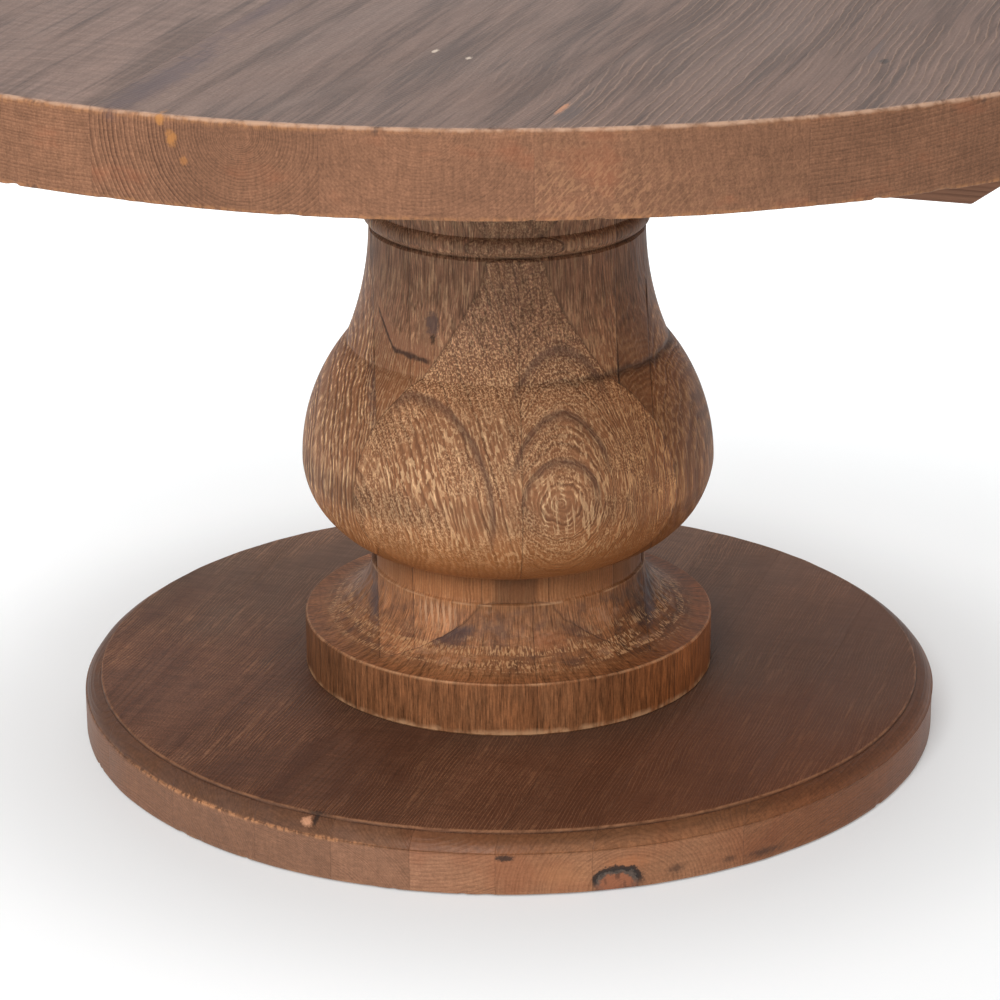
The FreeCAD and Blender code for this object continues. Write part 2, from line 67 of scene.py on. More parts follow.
class Value:
    """A node's output that can stand in a sum: each sign adds a math node."""

    def __init__(self, graph, socket):
        self.graph = graph
        self.socket = socket

    def __add__(self, other):
        return self.graph.math("ADD", self, other)

    def __sub__(self, other):
        return self.graph.math("SUBTRACT", self, other)

    def __rsub__(self, other):
        return self.graph.math("SUBTRACT", other, self)

    def __mul__(self, other):
        return self.graph.math("MULTIPLY", self, other)

    def __abs__(self):
        return self.graph.math("ABSOLUTE", self)

    __radd__ = __add__
    __rmul__ = __mul__


class Graph:
    """Adds nodes to one node tree. Any input may be a value, a socket, a number or a tuple."""

    def __init__(self, tree):
        self.tree = tree

    def put(self, socket, value):
        if isinstance(value, Value):
            value = value.socket
        if isinstance(value, bpy.types.NodeSocket):
            self.tree.links.new(value, socket)
        elif value is not None:
            socket.default_value = value

    def node(self, kind, inputs=(), **settings):
        item = self.tree.nodes.new(kind)
        for name, value in settings.items():
            setattr(item, name, value)
        for key, value in dict(inputs).items():
            self.put(item.inputs[key], value)
        return item

    def out(self, kind, inputs=(), index=0, **settings):
        """A new node's output, as a value."""
        return Value(self, self.node(kind, inputs, **settings).outputs[index])

    def math(self, operation, a, b=None):
        return self.out("ShaderNodeMath", {0: a, 1: b}, operation=operation)

    def most(self, a, b):
        return self.math("MAXIMUM", a, b)

    def vector(self, operation, a, b=None):
        return self.out("ShaderNodeVectorMath", {0: a, 1: b}, operation=operation)

    def length(self, vector):
        return self.out("ShaderNodeVectorMath", {0: vector}, "Value", operation="LENGTH")

    def tint(self, vector, amount):
        """A vector, or a colour's brightness, multiplied by a value."""
        return self.out("ShaderNodeVectorMath", {0: vector, "Scale": amount}, operation="SCALE")

    def stretch(self, vector, x, y, z):
        return self.vector("MULTIPLY", vector, (x, y, z))

    def split(self, vector):
        item = self.node("ShaderNodeSeparateXYZ", {0: vector})
        return [Value(self, socket) for socket in item.outputs]

    def join(self, x, y, z):
        return self.out("ShaderNodeCombineXYZ", {0: x, 1: y, 2: z})

    def step(self, value, low, high, start=0.0, end=1.0):
        """A smooth step from start to end while value goes from low to high."""
        inputs = {"Value": value, "From Min": low, "From Max": high, "To Min": start, "To Max": end}
        return self.out("ShaderNodeMapRange", inputs, interpolation_type="SMOOTHSTEP")

    def fall(self, value, low, high):
        """A smooth step down, from 1 to 0."""
        return self.step(value, low, high, 1.0, 0.0)

    def mix(self, factor, a, b):
        inputs = {"Factor": factor, 6: rgba(a), 7: rgba(b)}
        return self.out("ShaderNodeMix", inputs, 2, data_type="RGBA", clamp_factor=True)

    def noise(self, vector, scale=1.0, detail=2.0, rough=0.5, output=0):
        """Noise at a point, about 0.5 in the middle; a scale of three numbers stretches the point."""
        if isinstance(scale, tuple):
            vector = self.stretch(vector, *scale)
            scale = 1.0
        inputs = {"Vector": vector, "Scale": scale, "Detail": detail, "Roughness": rough}
        return self.out("ShaderNodeTexNoise", inputs, output)


def rgba(value):
    """A three-number colour with alpha added; sockets pass through."""
    if isinstance(value, tuple) and len(value) == 3:
        return (*value, 1.0)
    return value


def srgb(red, green, blue):
    """A display colour, 0 to 255, as the linear colour that shaders use."""
    def linear(channel):
        share = channel / 255
        return share / 12.92 if share <= 0.04045 else ((share + 0.055) / 1.055) ** 2.4
    return linear(red), linear(green), linear(blue)


# ---- the grain of a board ------------------------------------------------------------------------

def grain_group():
    """Solid wood: growth rings round a pith along the board's own W axis, with fibres and blotches.

    Point is (u, v, w) in metres from the pith; Rings and Power set how many rings lie inside a
    distance; Wander is how far the rings stray, in metres; Seed shifts every noise.
    """
    group = bpy.data.node_groups.new("grain", "ShaderNodeTree")
    group.interface.new_socket("Point", in_out="INPUT", socket_type="NodeSocketVector")
    for name in ("Rings", "Power", "Wander", "Seed"):
        group.interface.new_socket(name, in_out="INPUT", socket_type="NodeSocketFloat")
    for name in ("Late", "Saw", "Fibre", "Blotch"):
        group.interface.new_socket(name, in_out="OUTPUT", socket_type="NodeSocketFloat")
    g = Graph(group)
    enter = g.node("NodeGroupInput").outputs
    leave = g.node("NodeGroupOutput").inputs

    shift = g.tint((7.13, 3.31, 11.7), enter["Seed"])
    place = g.vector("ADD", enter["Point"], shift)
    middle = (0.5, 0.5, 0.5)
    wide = g.tint(g.vector("SUBTRACT", g.noise(place, (7, 7, 1.5), output=1), middle), enter["Wander"])
    near = g.tint(g.vector("SUBTRACT", g.noise(place, (85, 85, 9), output=1), middle), 0.0016)
    bent = g.vector("ADD", g.vector("ADD", enter["Point"], wide), near)
    reach = g.length(g.stretch(bent, 1, 1, 0))
    phase = g.math("POWER", reach * 1000.0, enter["Power"]) * enter["Rings"]
    uneven = g.out("ShaderNodeTexNoise", {"W": reach * 38.0 + enter["Seed"], "Scale": 1.0, "Detail": 1.0},
                   noise_dimensions="1D")
    phase = phase + uneven * 2.6
    saw = g.math("FRACT", phase)
    number = g.math("FLOOR", phase)
    strength = g.out("ShaderNodeTexWhiteNoise", {"W": number + enter["Seed"]}, noise_dimensions="1D")
    late = g.step(saw, 0.25, 0.82) * g.fall(saw, 0.9, 1.0) * (0.35 + strength * 0.65)

    g.put(leave["Late"], late)
    g.put(leave["Saw"], saw)
    g.put(leave["Fibre"], g.noise(place, (520, 520, 24), detail=3, rough=0.6))
    g.put(leave["Blotch"], g.noise(place, (11, 11, 4), detail=4, rough=0.6))
    return group


GRAIN = grain_group()


def grain(g, point, rings, power=1.0, wander=0.016, seed=0.0):
    """The grain at a point: late wood, the place between two rings, fibre and blotch, each 0 to 1."""
    inputs = {"Point": point, "Rings": rings, "Power": power, "Wander": wander, "Seed": seed}
    item = g.node("ShaderNodeGroup", node_tree=GRAIN)
    for name, value in inputs.items():
        g.put(item.inputs[name], value)
    return [Value(g, item.outputs[name]) for name in ("Late", "Saw", "Fibre", "Blotch")]


def new_material(name):
    """An empty material's graph and its Principled shader."""
    material = bpy.data.materials.new(name)
    material.use_nodes = True
    tree = material.node_tree
    tree.nodes.clear()
    g = Graph(tree)
    shader = g.node("ShaderNodeBsdfPrincipled")
    output = g.node("ShaderNodeOutputMaterial")
    tree.links.new(shader.outputs[0], output.inputs[0])
    return material, g, shader


def finish_wood(g, shader, colour, height, roughness, bump=0.5, reach=0.0006, gloss=0.14):
    """Join a colour, a height from 0 to 1, a roughness and a gloss to the shader."""
    g.put(shader.inputs["Base Color"], colour)
    g.put(shader.inputs["Roughness"], roughness)
    shader.inputs["Specular IOR Level"].default_value = gloss
    lift = g.node("ShaderNodeBump", {"Strength": bump, "Distance": reach, "Height": height})
    g.put(shader.inputs["Normal"], lift.outputs[0])


def object_point(g):
    return g.node("ShaderNodeTexCoord").outputs["Object"]


def upward(g):
    """How far the surface faces up, from -1 to 1."""
    return g.split(g.node("ShaderNodeNewGeometry").outputs["Normal"])[2]


def near_plane(g, coordinate, place, width):
    """1 on a plane, falling to 0 at width either side."""
    return g.fall(abs(coordinate - place), 0.0, width)


def blots(g, colour, point, spots):
    """Paint soft-edged, ragged stains: each (centre, radii, paint, strength, softness)."""
    for centre, radii, paint, strength, softness in spots:
        fine = 70 if min(radii) > 0.012 else 260 if min(radii) > 0.004 else 560
        ragged = (g.noise(point, fine, detail=3, rough=0.65) - 0.5) * 1.3
        share = g.vector("DIVIDE", g.vector("SUBTRACT", point, centre), radii)
        gap = g.length(share) + ragged
        colour = g.mix(g.step(gap, 1.0 - softness, 1.0, strength, 0.0), colour, paint)
    return colour


def warmed(g, colour, share, factors):
    """A colour multiplied by three factors, in full where share is 1."""
    less = [1.0 + share * (factor - 1.0) for factor in factors]
    return g.vector("MULTIPLY", colour, g.join(*less))


def dust(g, point, amount):
    """A fine grain of light and dark specks, as a factor round 1."""
    fine = g.noise(point, 620, detail=1, rough=0.5)
    return 1.0 - amount / 2 + fine * amount


# ---- materials of the top ------------------------------------------------------------------------

TOP_LOW, TOP_HIGH = level_range("top_plank_5")
TOP_RADIUS = 0.700

GREY_LIGHT = srgb(114, 92, 82)
GREY_DARK = srgb(78, 59, 52)
GREY_BLUE = srgb(80, 65, 67)
RIM_LIGHT = srgb(128, 89, 66)
RIM_DARK = srgb(84, 55, 40)
ARRIS = srgb(172, 120, 78)
ARRIS_PALE = srgb(176, 142, 118)
CHAR = srgb(48, 38, 34)
RING_STEP = 0.0072

# for each plank: pith across and above (metres), rings, power, drift of the pith along the plank,
# strength of cross ripple, of ring lines on the face, of rings on the end, of raised pale lines,
# brightness, and wear of the upper arris
TOP_PLANKS = [
    ((-0.640, 0.900), 0.35, 1.0, (0.00, 0.010), 0.1, 0.5, 0.5, 0.1, 0.98, 0.5),
    ((-0.500, 0.560), 0.42, 1.0, (0.01, 0.000), 0.6, 0.5, 0.5, 0.1, 1.02, 0.6),
    ((-0.350, 1.250), 0.36, 1.0, (0.00, 0.020), 0.9, 0.4, 0.4, 0.0, 1.00, 0.8),
    ((-0.120, 1.400), 0.40, 1.0, (0.01, 0.015), 1.0, 0.3, 0.45, 0.0, 1.03, 1.0),
    ((0.022, 0.747), 3.36, 0.58, (0.30, 0.012), 0.3, 0.6, 1.0, 0.1, 0.95, 1.0),
    ((0.148, 0.760), 2.90, 0.62, (0.25, 0.020), 0.2, 0.6, 0.22, 0.3, 0.93, 0.5),
    ((-0.070, 0.600), 0.15, 1.0, (0.00, 0.015), 0.1, 0.2, 0.12, 0.9, 0.91, 0.25),
    ((0.400, 1.200), 0.34, 1.0, (0.01, 0.010), 0.0, 0.3, 0.4, 1.0, 0.91, 0.20),
    ((0.660, 0.880), 0.36, 1.0, (0.02, 0.000), 0.2, 0.5, 0.5, 0.7, 0.94, 0.3),
]

# stains and marks on the planks, by plank number from 0
TOP_BLOTS = {
    3: [((-0.215, -0.668, 0.700), (0.020, 0.05, 0.010), RIM_DARK, 0.35, 0.8)],
    4: [((-0.042, -0.700, 0.752), (0.0045, 0.02, 0.006), srgb(170, 116, 62), 0.7, 0.7),
        ((-0.034, -0.700, 0.738), (0.0055, 0.02, 0.009), srgb(164, 110, 58), 0.7, 0.7),
        ((-0.024, -0.700, 0.722), (0.0040, 0.02, 0.005), srgb(160, 106, 58), 0.5, 0.7),
        ((-0.080, -0.600, 0.755), (0.022, 0.16, 0.02), GREY_BLUE, 0.65, 0.8),
        ((-0.092, -0.300, 0.755), (0.016, 0.30, 0.02), GREY_BLUE, 0.60, 0.8),
        ((0.055, -0.600, 0.755), (0.014, 0.10, 0.02), srgb(74, 58, 52), 0.5, 0.9)],
    5: [((0.086, -0.455, 0.755), (0.003, 0.008, 0.01), srgb(196, 178, 160), 0.9, 0.7),
        ((0.095, -0.500, 0.755), (0.010, 0.16, 0.01), srgb(78, 62, 56), 0.45, 0.9),
        ((0.118, -0.470, 0.755), (0.003, 0.006, 0.01), srgb(196, 178, 160), 0.8, 0.7)],
    6: [((0.231, -0.600, 0.755), (0.004, 0.022, 0.01), srgb(176, 120, 84), 0.8, 0.6),
        ((0.240, -0.612, 0.755), (0.012, 0.034, 0.01), srgb(76, 64, 62), 0.55, 0.8)],
    7: [((0.405, -0.345, 0.755), (0.005, 0.012, 0.01), CHAR, 0.8, 0.6),
        ((0.424, -0.390, 0.755), (0.005, 0.010, 0.01), CHAR, 0.8, 0.6),
        ((0.409, -0.360, 0.755), (0.010, 0.050, 0.01), srgb(88, 74, 72), 0.5, 0.8)],
}


def top_face(g, point, index, late):
    """The waxed face of a plank: grey-brown, with dark streaks, fine fibres and raised pale lines."""
    ripple_marks, ring_lines, raised = TOP_PLANKS[index][4], TOP_PLANKS[index][5], TOP_PLANKS[index][7]
    shifted = g.vector("ADD", point, (0.37 * index, 0.0, 0.0))
    streak = g.noise(shifted, (46, 2.6, 10), detail=4, rough=0.66)
    thread = g.noise(shifted, (330, 11, 10), detail=3, rough=0.6)
    scratch = g.noise(shifted, (150, 5, 10), detail=2, rough=0.6)
    grey = g.mix(late * 0.5 * ring_lines, GREY_LIGHT, GREY_DARK)
    grey = g.mix(g.step(streak, 0.46, 0.64, 0.0, 0.62), grey, srgb(72, 55, 48))
    grey = g.mix(g.step(streak, 0.30, 0.45, 0.25, 0.0), grey, srgb(126, 105, 94))
    grey = g.tint(grey, 0.66 + thread * 0.68)
    grey = g.mix(g.step(scratch, 0.60, 0.68, 0.0, 0.42), grey, srgb(66, 52, 48))
    grey = g.tint(grey, dust(g, g.stretch(shifted, 1.0, 0.45, 1.0), 0.60))
    wavy = g.split(point)[1] + (g.noise(shifted, 6) - 0.5) * 0.08
    cross = g.noise(g.join(g.split(point)[0] * 24, wavy * 130, 0.0), detail=2)
    grey = g.tint(grey, 1.0 + (cross - 0.5) * 0.62 * ripple_marks)
    pale, shadow = raised_lines(g, point)
    broken = g.step(g.noise(shifted, (24, 7, 10), detail=2), 0.36, 0.56, 0.15, 1.0)
    pale = pale * broken * raised
    grey = g.mix(shadow * broken * 0.36 * raised, grey, srgb(64, 49, 43))
    grey = g.mix(pale * 0.40, grey, srgb(166, 141, 123))
    return grey, pale + thread * 0.5, cross


def raised_lines(g, point):
    """Growth rings that stand up on a worn face: thin pale lines along Y, each with a shadow beside it."""
    bend = (g.noise(point, (5, 3, 5), detail=1) - 0.5) * 0.060
    quiver = (g.noise(point, (90, 30, 90), detail=3, rough=0.6) - 0.5) * 0.0055
    phase = g.math("FRACT", (g.split(point)[0] + bend + quiver) * (1 / RING_STEP))
    pale = g.step(phase, 0.0, 0.08) * g.fall(phase, 0.12, 0.28)
    shadow = g.step(phase, 0.20, 0.34) * g.fall(phase, 0.44, 0.70)
    return pale, shadow


def top_end(g, point, index, late, saw, height_share):
    """The end grain of a plank: red-brown rings with rows of pale dashes and soft patches."""
    clear = TOP_PLANKS[index][6]
    if index == 4:
        clear = g.step(g.split(point)[0], -0.045, 0.0, 1.0, 0.45)
    red = g.mix(late * 0.80 * clear, RIM_LIGHT, RIM_DARK)
    pale = g.fall(saw, 0.0, 0.25) * 0.38
    red = g.mix(pale * clear, red, srgb(170, 124, 92))
    shifted = g.vector("ADD", point, (0.0, 0.0, 0.31 * index))
    level = g.noise(shifted, (60, 60, 420), detail=3, rough=0.65)
    upright = g.noise(shifted, (420, 420, 60), detail=2)
    red = g.tint(red, (0.40 + level * 0.56 + upright * 0.60) * dust(g, point, 0.80))
    shade = g.noise(shifted, (13, 13, 26), detail=4, rough=0.6)
    red = g.tint(red, 0.74 + shade * 0.52)
    red = g.mix(g.step(shade, 0.56, 0.72, 0.0, 0.4), red, srgb(138, 80, 54))
    if index == 4:
        red = g.tint(red, g.step(g.split(point)[0], -0.060, -0.020, 1.0, 0.90))
    if index == 6:
        slant = g.split(point)[2] - g.split(point)[0] * 1.1
        dash = g.noise(g.join(slant * 330, g.split(point)[0] * 160, 0.0), detail=1)
        fade = g.step(g.split(point)[0], 0.27, 0.37, 1.0, 0.25)
        dash = g.step(dash, 0.50, 0.60) * fade * height_share
        red = g.mix(dash * 0.45, red, srgb(170, 124, 90))
    return red


def sawn_under(g, point, index, late, light, dark):
    """The sawn underside of a board: rings drawn out along Y, thin streaks and its own tone."""
    shifted = g.vector("ADD", point, (0.37 * index, 0.0, 0.0))
    streak = g.noise(shifted, (130, 3, 40), detail=4, rough=0.65)
    saw_mark = g.noise(shifted, (12, 260, 40), detail=2, rough=0.6)
    broad = g.noise(shifted, (9, 2.5, 9), detail=3, rough=0.6)
    colour = g.mix(late * 0.60, light, dark)
    tone = 0.62 + 0.08 * math.sin(2.4 * index)
    shade = tone + streak * 0.42 + saw_mark * 0.14 + broad * 0.22
    return g.tint(colour, shade)


def top_plank_material(index, low, high):
    """One plank of the top: grey-brown waxed face, red-brown end grain and worn, paler arrises with painted
    highlight on them.
    """
    (pith_x, pith_z), rings, power, drift = TOP_PLANKS[index][:4]
    bright, arris_wear = TOP_PLANKS[index][8:]
    material, g, shader = new_material("top_plank_wood_%d" % (index + 1))
    point = object_point(g)
    x, y, z = g.split(point)
    along = y + 0.69
    u = x - pith_x - along * drift[0]
    v = z - pith_z - along * drift[1]
    late, saw, fibre, blotch = grain(g, g.join(u, v, y), rings, power, 0.010, 3.7 * index + 1.3)
    up = upward(g)
    face = g.step(up, 0.70, 0.95)
    grey, relief, cross = top_face(g, point, index, late)
    # painted shade: the face turns darker and warmer towards the right, away from the light
    grey = warmed(g, grey, g.step(x, -0.05, 0.35), (0.93, 0.86, 0.81))
    depth = TOP_HIGH - z
    red = top_end(g, point, index, late, saw, g.step(depth, 0.01, 0.05, 0.35, 1.0))
    # painted shade: the rim's end grain darker towards the right
    red = g.tint(red, g.step(x, 0.10, 0.50, 0.93, 0.80))
    colour = g.tint(g.mix(face, red, grey), bright - 0.13 + blotch * 0.26)
    under = g.fall(up, -0.95, -0.75)
    colour = g.mix(under, colour, sawn_under(g, point, index, late, srgb(146, 107, 80), srgb(100, 70, 54)))

    # worn arrises with painted highlight: an orange band just inside each edge of the rim and a pale line on
    # the corner, paler partly from wear and partly from painted highlight
    wear = g.noise(point, (70, 70, 90), detail=3, rough=0.65)
    rim = 1.0 - face
    band = g.step(depth, 0.0010, 0.002 + wear * 0.010, 0.7 * arris_wear, 0.0) * rim
    lower = g.step(z - TOP_LOW, 0.0005, 0.001 + wear * 0.007, 0.7, 0.0) * rim
    teeth = 0.25 + g.step(g.noise(point, (260, 260, 20)), 0.42, 0.58) * 0.75
    colour = g.mix(g.most(band, lower) * teeth * 0.70, colour, ARRIS)
    reach = g.length(g.join(x, y, 0.0))
    corner = g.fall(depth, 0.0008, 0.0012 + wear * 0.0042) * g.step(reach, 0.6950, 0.6975)
    colour = g.mix(corner * g.step(wear, 0.32, 0.60, 0.15, 0.8), colour, ARRIS_PALE)
    bruise = g.noise(point, 55, detail=3, rough=0.6)
    edge = g.fall(depth, 0.003, 0.009) * g.step(reach, 0.690, 0.695)
    foot = g.fall(z - TOP_LOW, 0.001, 0.008)
    colour = g.mix(g.most(edge, foot) * g.step(bruise, 0.63, 0.71, 0.0, 0.6), colour, srgb(62, 46, 40))

    seam = g.most(near_plane(g, x, low, 0.0009), near_plane(g, x, high, 0.0009))
    broken = g.step(g.noise(point, (20, 20, 20), detail=2), 0.35, 0.6, 0.1, 1.0)
    colour = g.mix(seam * broken * (0.18 + face * 0.25 + under * 0.5), colour, srgb(60, 44, 39))
    colour = blots(g, colour, point, TOP_BLOTS.get(index, []))

    height = late * 0.35 + relief * face * 0.8
    height = height - seam * 0.4 + fibre * 0.4
    height = height + cross * 0.5 * TOP_PLANKS[index][4]
    rough = 0.50 + blotch * 0.16
    finish_wood(g, shader, colour, height, rough, 0.6, 0.0008)
    return material


# ---- materials of the base -----------------------------------------------------------------------

BASE_LOW, BASE_TOP = level_range("base_board_5")
BASE_RADIUS = 0.405
BASE_FLAT_RADIUS = 0.390

BASE_DARK = srgb(86, 55, 40)
BASE_MID = srgb(118, 82, 62)
SIDE_LIGHT = srgb(140, 101, 78)
SIDE_DARK = srgb(104, 70, 52)

# for each board: pith across and above (metres), rings, power, drift, tone of its side and its top
BASE_BOARDS = [
    ((-0.360, 0.160), 0.34, 1.0, (0.00, 0.02), 0.90, 1.00),
    ((-0.250, -0.120), 0.40, 1.0, (0.01, 0.01), 0.92, 1.05),
    ((-0.240, -0.040), 0.42, 1.0, (0.02, 0.00), 0.88, 1.00),
    ((-0.110, -0.060), 0.55, 1.0, (0.01, 0.02), 0.94, 0.95),
    ((-0.060, -0.050), 0.48, 1.0, (0.00, 0.02), 1.00, 0.92),
    ((0.048, 0.190), 0.30, 1.0, (0.00, 0.16), 1.14, 1.02),
    ((0.205, 0.004), 0.30, 1.0, (0.01, 0.02), 1.02, 0.92),
    ((0.214, 0.000), 0.36, 1.0, (0.02, 0.01), 0.98, 0.98),
    ((0.400, -0.070), 0.38, 1.0, (0.00, 0.01), 0.90, 1.00),
]

BASE_BLOTS = {
    3: [((-0.060, -0.392, 0.0495), (0.0070, 0.012, 0.0042), srgb(206, 152, 118), 0.8, 0.6),
        ((-0.0525, -0.389, 0.0515), (0.0032, 0.012, 0.0050), CHAR, 0.85, 0.6),
        ((-0.056, -0.386, 0.0556), (0.018, 0.005, 0.0026), CHAR, 0.75, 0.7)],
    6: [((0.118, -0.390, 0.037), (0.011, 0.02, 0.0035), CHAR, 0.85, 0.5),
        ((0.165, -0.370, 0.020), (0.034, 0.05, 0.018), srgb(176, 122, 84), 0.35, 0.95)],
    7: [((0.215, -0.345, 0.026), (0.026, 0.04, 0.010), srgb(176, 112, 74), 0.45, 0.9),
        ((0.252, -0.320, 0.014), (0.010, 0.03, 0.006), CHAR, 0.55, 0.8),
        ((0.290, -0.283, 0.012), (0.008, 0.02, 0.004), CHAR, 0.5, 0.8)],
    8: [((0.315, -0.255, 0.010), (0.024, 0.03, 0.005), CHAR, 0.6, 0.8)],
}


def base_board_material(index, low, high):
    """One board of the base: dark stained face, a paler end-grain side and a worn rounded edge."""
    (pith_x, pith_z), rings, power, drift, side_tone, top_tone = BASE_BOARDS[index]
    material, g, shader = new_material("base_board_wood_%d" % (index + 1))
    point = object_point(g)
    x, y, z = g.split(point)
    along = y + 0.38
    u = x - pith_x - along * drift[0]
    v = z - pith_z - along * drift[1]
    late, _, fibre, blotch = grain(g, g.join(u, v, y), rings, power, 0.008, 5.3 * index + 2.1)
    reach = g.length(g.join(x, y, 0.0))
    face = g.step(upward(g), 0.6, 0.95) * g.fall(reach, 0.3895, 0.3915)

    shifted = g.vector("ADD", point, (0.29 * index, 0.0, 0.0))
    streak = g.noise(shifted, (34, 4, 10), detail=4, rough=0.7)
    thread = g.noise(shifted, (420, 13, 10), detail=2, rough=0.6)
    patch = g.noise(point, (9, 7, 9), detail=4, rough=0.6)
    cross = g.noise(shifted, (30, 230, 10), detail=3, rough=0.65)
    dark = g.mix(g.step(streak, 0.36, 0.70, 0.0, 0.45), BASE_DARK, BASE_MID)
    dark = g.mix(late * 0.30, dark, srgb(60, 37, 28))
    lines = g.step(thread, 0.56, 0.66) * g.step(patch, 0.42, 0.62, 0.1, 0.7)
    scored = raised_lines(g, g.stretch(shifted, 2.3, 2.0, 2.3))[0]
    lines = g.most(lines, scored * g.step(patch, 0.42, 0.54, 0.15, 1.0))
    dark = g.mix(lines * 0.66, dark, srgb(160, 114, 82))
    dark = g.tint(dark, (0.30 + cross * 0.80 + patch * 0.58) * dust(g, point, 1.10))
    # painted light: the face turns redder and warmer towards the right, a colour cast of the light
    dark = g.mix(g.step(x, -0.25, 0.35, 0.0, 0.60), dark, srgb(96, 58, 38))
    dark = warmed(g, dark, g.step(x, 0.02, 0.30), (0.97, 0.90, 0.84))
    # painted reflection: the face turns greyer towards the back, more on the left than on the right
    back_reflection = g.step(y + (patch - 0.5) * 0.5, -0.12, 0.16) * g.step(x, 0.06, 0.30, 0.66, 0.36)
    dark = g.mix(back_reflection, dark, g.tint(srgb(98, 77, 62), 0.34 + cross * 0.85 + lines * 0.80))
    # painted shade: a darker grey ring on the face round the column's foot
    column_foot_shade = g.fall(reach, 0.194, 0.262) * g.step(patch, 0.36, 0.60, 0.25, 0.9)
    dark = g.mix(column_foot_shade * 0.42, dark, srgb(66, 54, 46))
    dark = g.tint(dark, top_tone * (0.85 + fibre * 0.30))
    # painted light: the face lighter towards the back and at the left
    dark = g.tint(dark, g.step(y, 0.05, 0.38, 1.0, 1.62) * g.step(x, -0.38, -0.10, 1.18, 1.0))

    side = g.mix(late * 0.42, SIDE_LIGHT, SIDE_DARK)
    level = g.noise(shifted, (70, 70, 420), detail=3, rough=0.6)
    side = g.tint(side, (0.68 + level * 0.66) * dust(g, point, 0.60))
    side = g.mix(g.step(patch, 0.55, 0.70, 0.0, 0.4), side, srgb(132, 80, 56))
    side = g.tint(side, side_tone * (0.76 + blotch * 0.48))
    hatch = g.noise(shifted, (300, 300, 60), detail=2, rough=0.6)
    edge = g.tint(g.mix(0.62, side, srgb(92, 62, 46)), 0.50 + level * 0.30 + hatch * 0.56)
    edge = g.mix(g.step(patch, 0.42, 0.56, 0.35, 0.0), edge, srgb(92, 74, 72))
    edge = warmed(g, edge, 1.0, (0.88, 0.83, 0.72))
    # painted light and shade on the rounded edge: towards the right its lower part is lighter and its upper
    # part darker
    lit_low, lit_high = (g.step(x, -0.05, 0.15, 1.0, end) for end in (1.30, 0.72))
    edge = g.tint(edge, g.step(z, 0.0435, 0.0505, lit_low, lit_high))
    side = g.mix(g.step(z, 0.038, 0.042) * g.step(x, -0.20, 0.10, 1.0, 0.80), side, edge)
    side = g.tint(side, 0.80 + hatch * 0.40)
    # painted light and shade: the side warmer towards the right of the middle, darker and cooler at the far
    # left and far right, where it turns from the light
    side = warmed(g, side, g.step(x, 0.0, 0.16), (1.10, 1.02, 0.88))
    side = warmed(g, side, g.fall(x, -0.32, -0.14), (0.94, 0.86, 0.78))
    side = warmed(g, side, g.step(x, 0.25, 0.36), (0.78, 0.64, 0.55))
    colour = g.mix(face, side, dark)
    under = g.fall(upward(g), -0.95, -0.75)
    colour = g.mix(under, colour, sawn_under(g, point, index, late, srgb(134, 96, 72), srgb(92, 63, 49)))

    wear = g.noise(point, (60, 60, 110), detail=3, rough=0.65)
    lip = near_plane(g, reach, 0.3887, 0.0004 + wear * 0.0022) * g.step(z, 0.0535, 0.0550)
    shown = g.step(x, -0.02, 0.03, 1.0, 0.08) * g.step(x, -0.30, -0.19, 0.30, 1.0)
    fold = near_plane(g, z, 0.0408, 0.0012 + wear * 0.0032) * shown
    torn = g.step(g.noise(point, (330, 330, 60), detail=1), 0.42, 0.56, 0.15, 1.0)
    colour = g.mix(lip * g.step(wear, 0.40, 0.58, 0.25, 1.0) * 0.55, colour, srgb(158, 112, 80))
    colour = g.mix(fold * torn * g.step(wear, 0.34, 0.52, 0.20, 0.60), colour, srgb(214, 152, 106))
    # painted shade: a dark line in the quirk at the inner edge of the rounded edge
    quirk = near_plane(g, reach, 0.3893, 0.0014) * g.fall(z, 0.0525, 0.0545)
    colour = g.mix(quirk * 0.8, colour, srgb(46, 28, 20))
    foot = g.fall(z, 0.002, 0.006) * g.step(wear, 0.42, 0.6, 0.2, 0.8)
    colour = g.mix(foot * 0.50, colour, srgb(178, 132, 98))
    seam = g.most(near_plane(g, x, low, 0.0006), near_plane(g, x, high, 0.0006))
    colour = g.mix(seam * (0.22 + under * 0.4), colour, srgb(56, 38, 30))
    colour = blots(g, colour, point, BASE_BLOTS.get(index, []))
    if index == 7:
        colour = base_knot(g, point, colour)

    height = late * 0.4 + lines * face * 0.6
    height = height - seam * 0.4 + level * 0.5
    rough = 0.50 + blotch * 0.2 - g.step(face, 0.0, 1.0, 0.16, 0.0)
    finish_wood(g, shader, colour, height, rough, 0.7, 0.0009, 0.15)
    return material


def base_knot(g, point, colour):
    """A split knot with a black ring and a red heart, low on the side of one base board."""
    share = g.vector("DIVIDE", g.vector("SUBTRACT", point, (0.207, -0.348, 0.009)), (0.019, 0.08, 0.0135))
    ragged = (g.noise(point, 120, detail=3, rough=0.7) - 0.5) * 0.75
    far = g.length(share) + ragged
    heart = g.mix(g.step(g.noise(point, (260, 60, 90), detail=3), 0.46, 0.72),
                  srgb(146, 92, 66), srgb(104, 68, 52))
    bark = g.mix(g.noise(point, 420, detail=2), srgb(112, 98, 88), srgb(50, 40, 36))
    heart = g.mix(g.step(far, 0.60, 0.74) * g.step(g.split(point)[2], 0.004, 0.012, 0.3, 1.0), heart, bark)
    colour = g.mix(g.fall(far, 0.9, 1.0), colour, heart)
    above = g.step(g.split(point)[2], 0.004, 0.012, 0.25, 1.0)
    ring = g.fall(abs(far - 1.0), 0.08, 0.22) * above
    return g.mix(ring * 0.92, colour, srgb(44, 38, 36))


# ---- materials of the column ---------------------------------------------------------------------

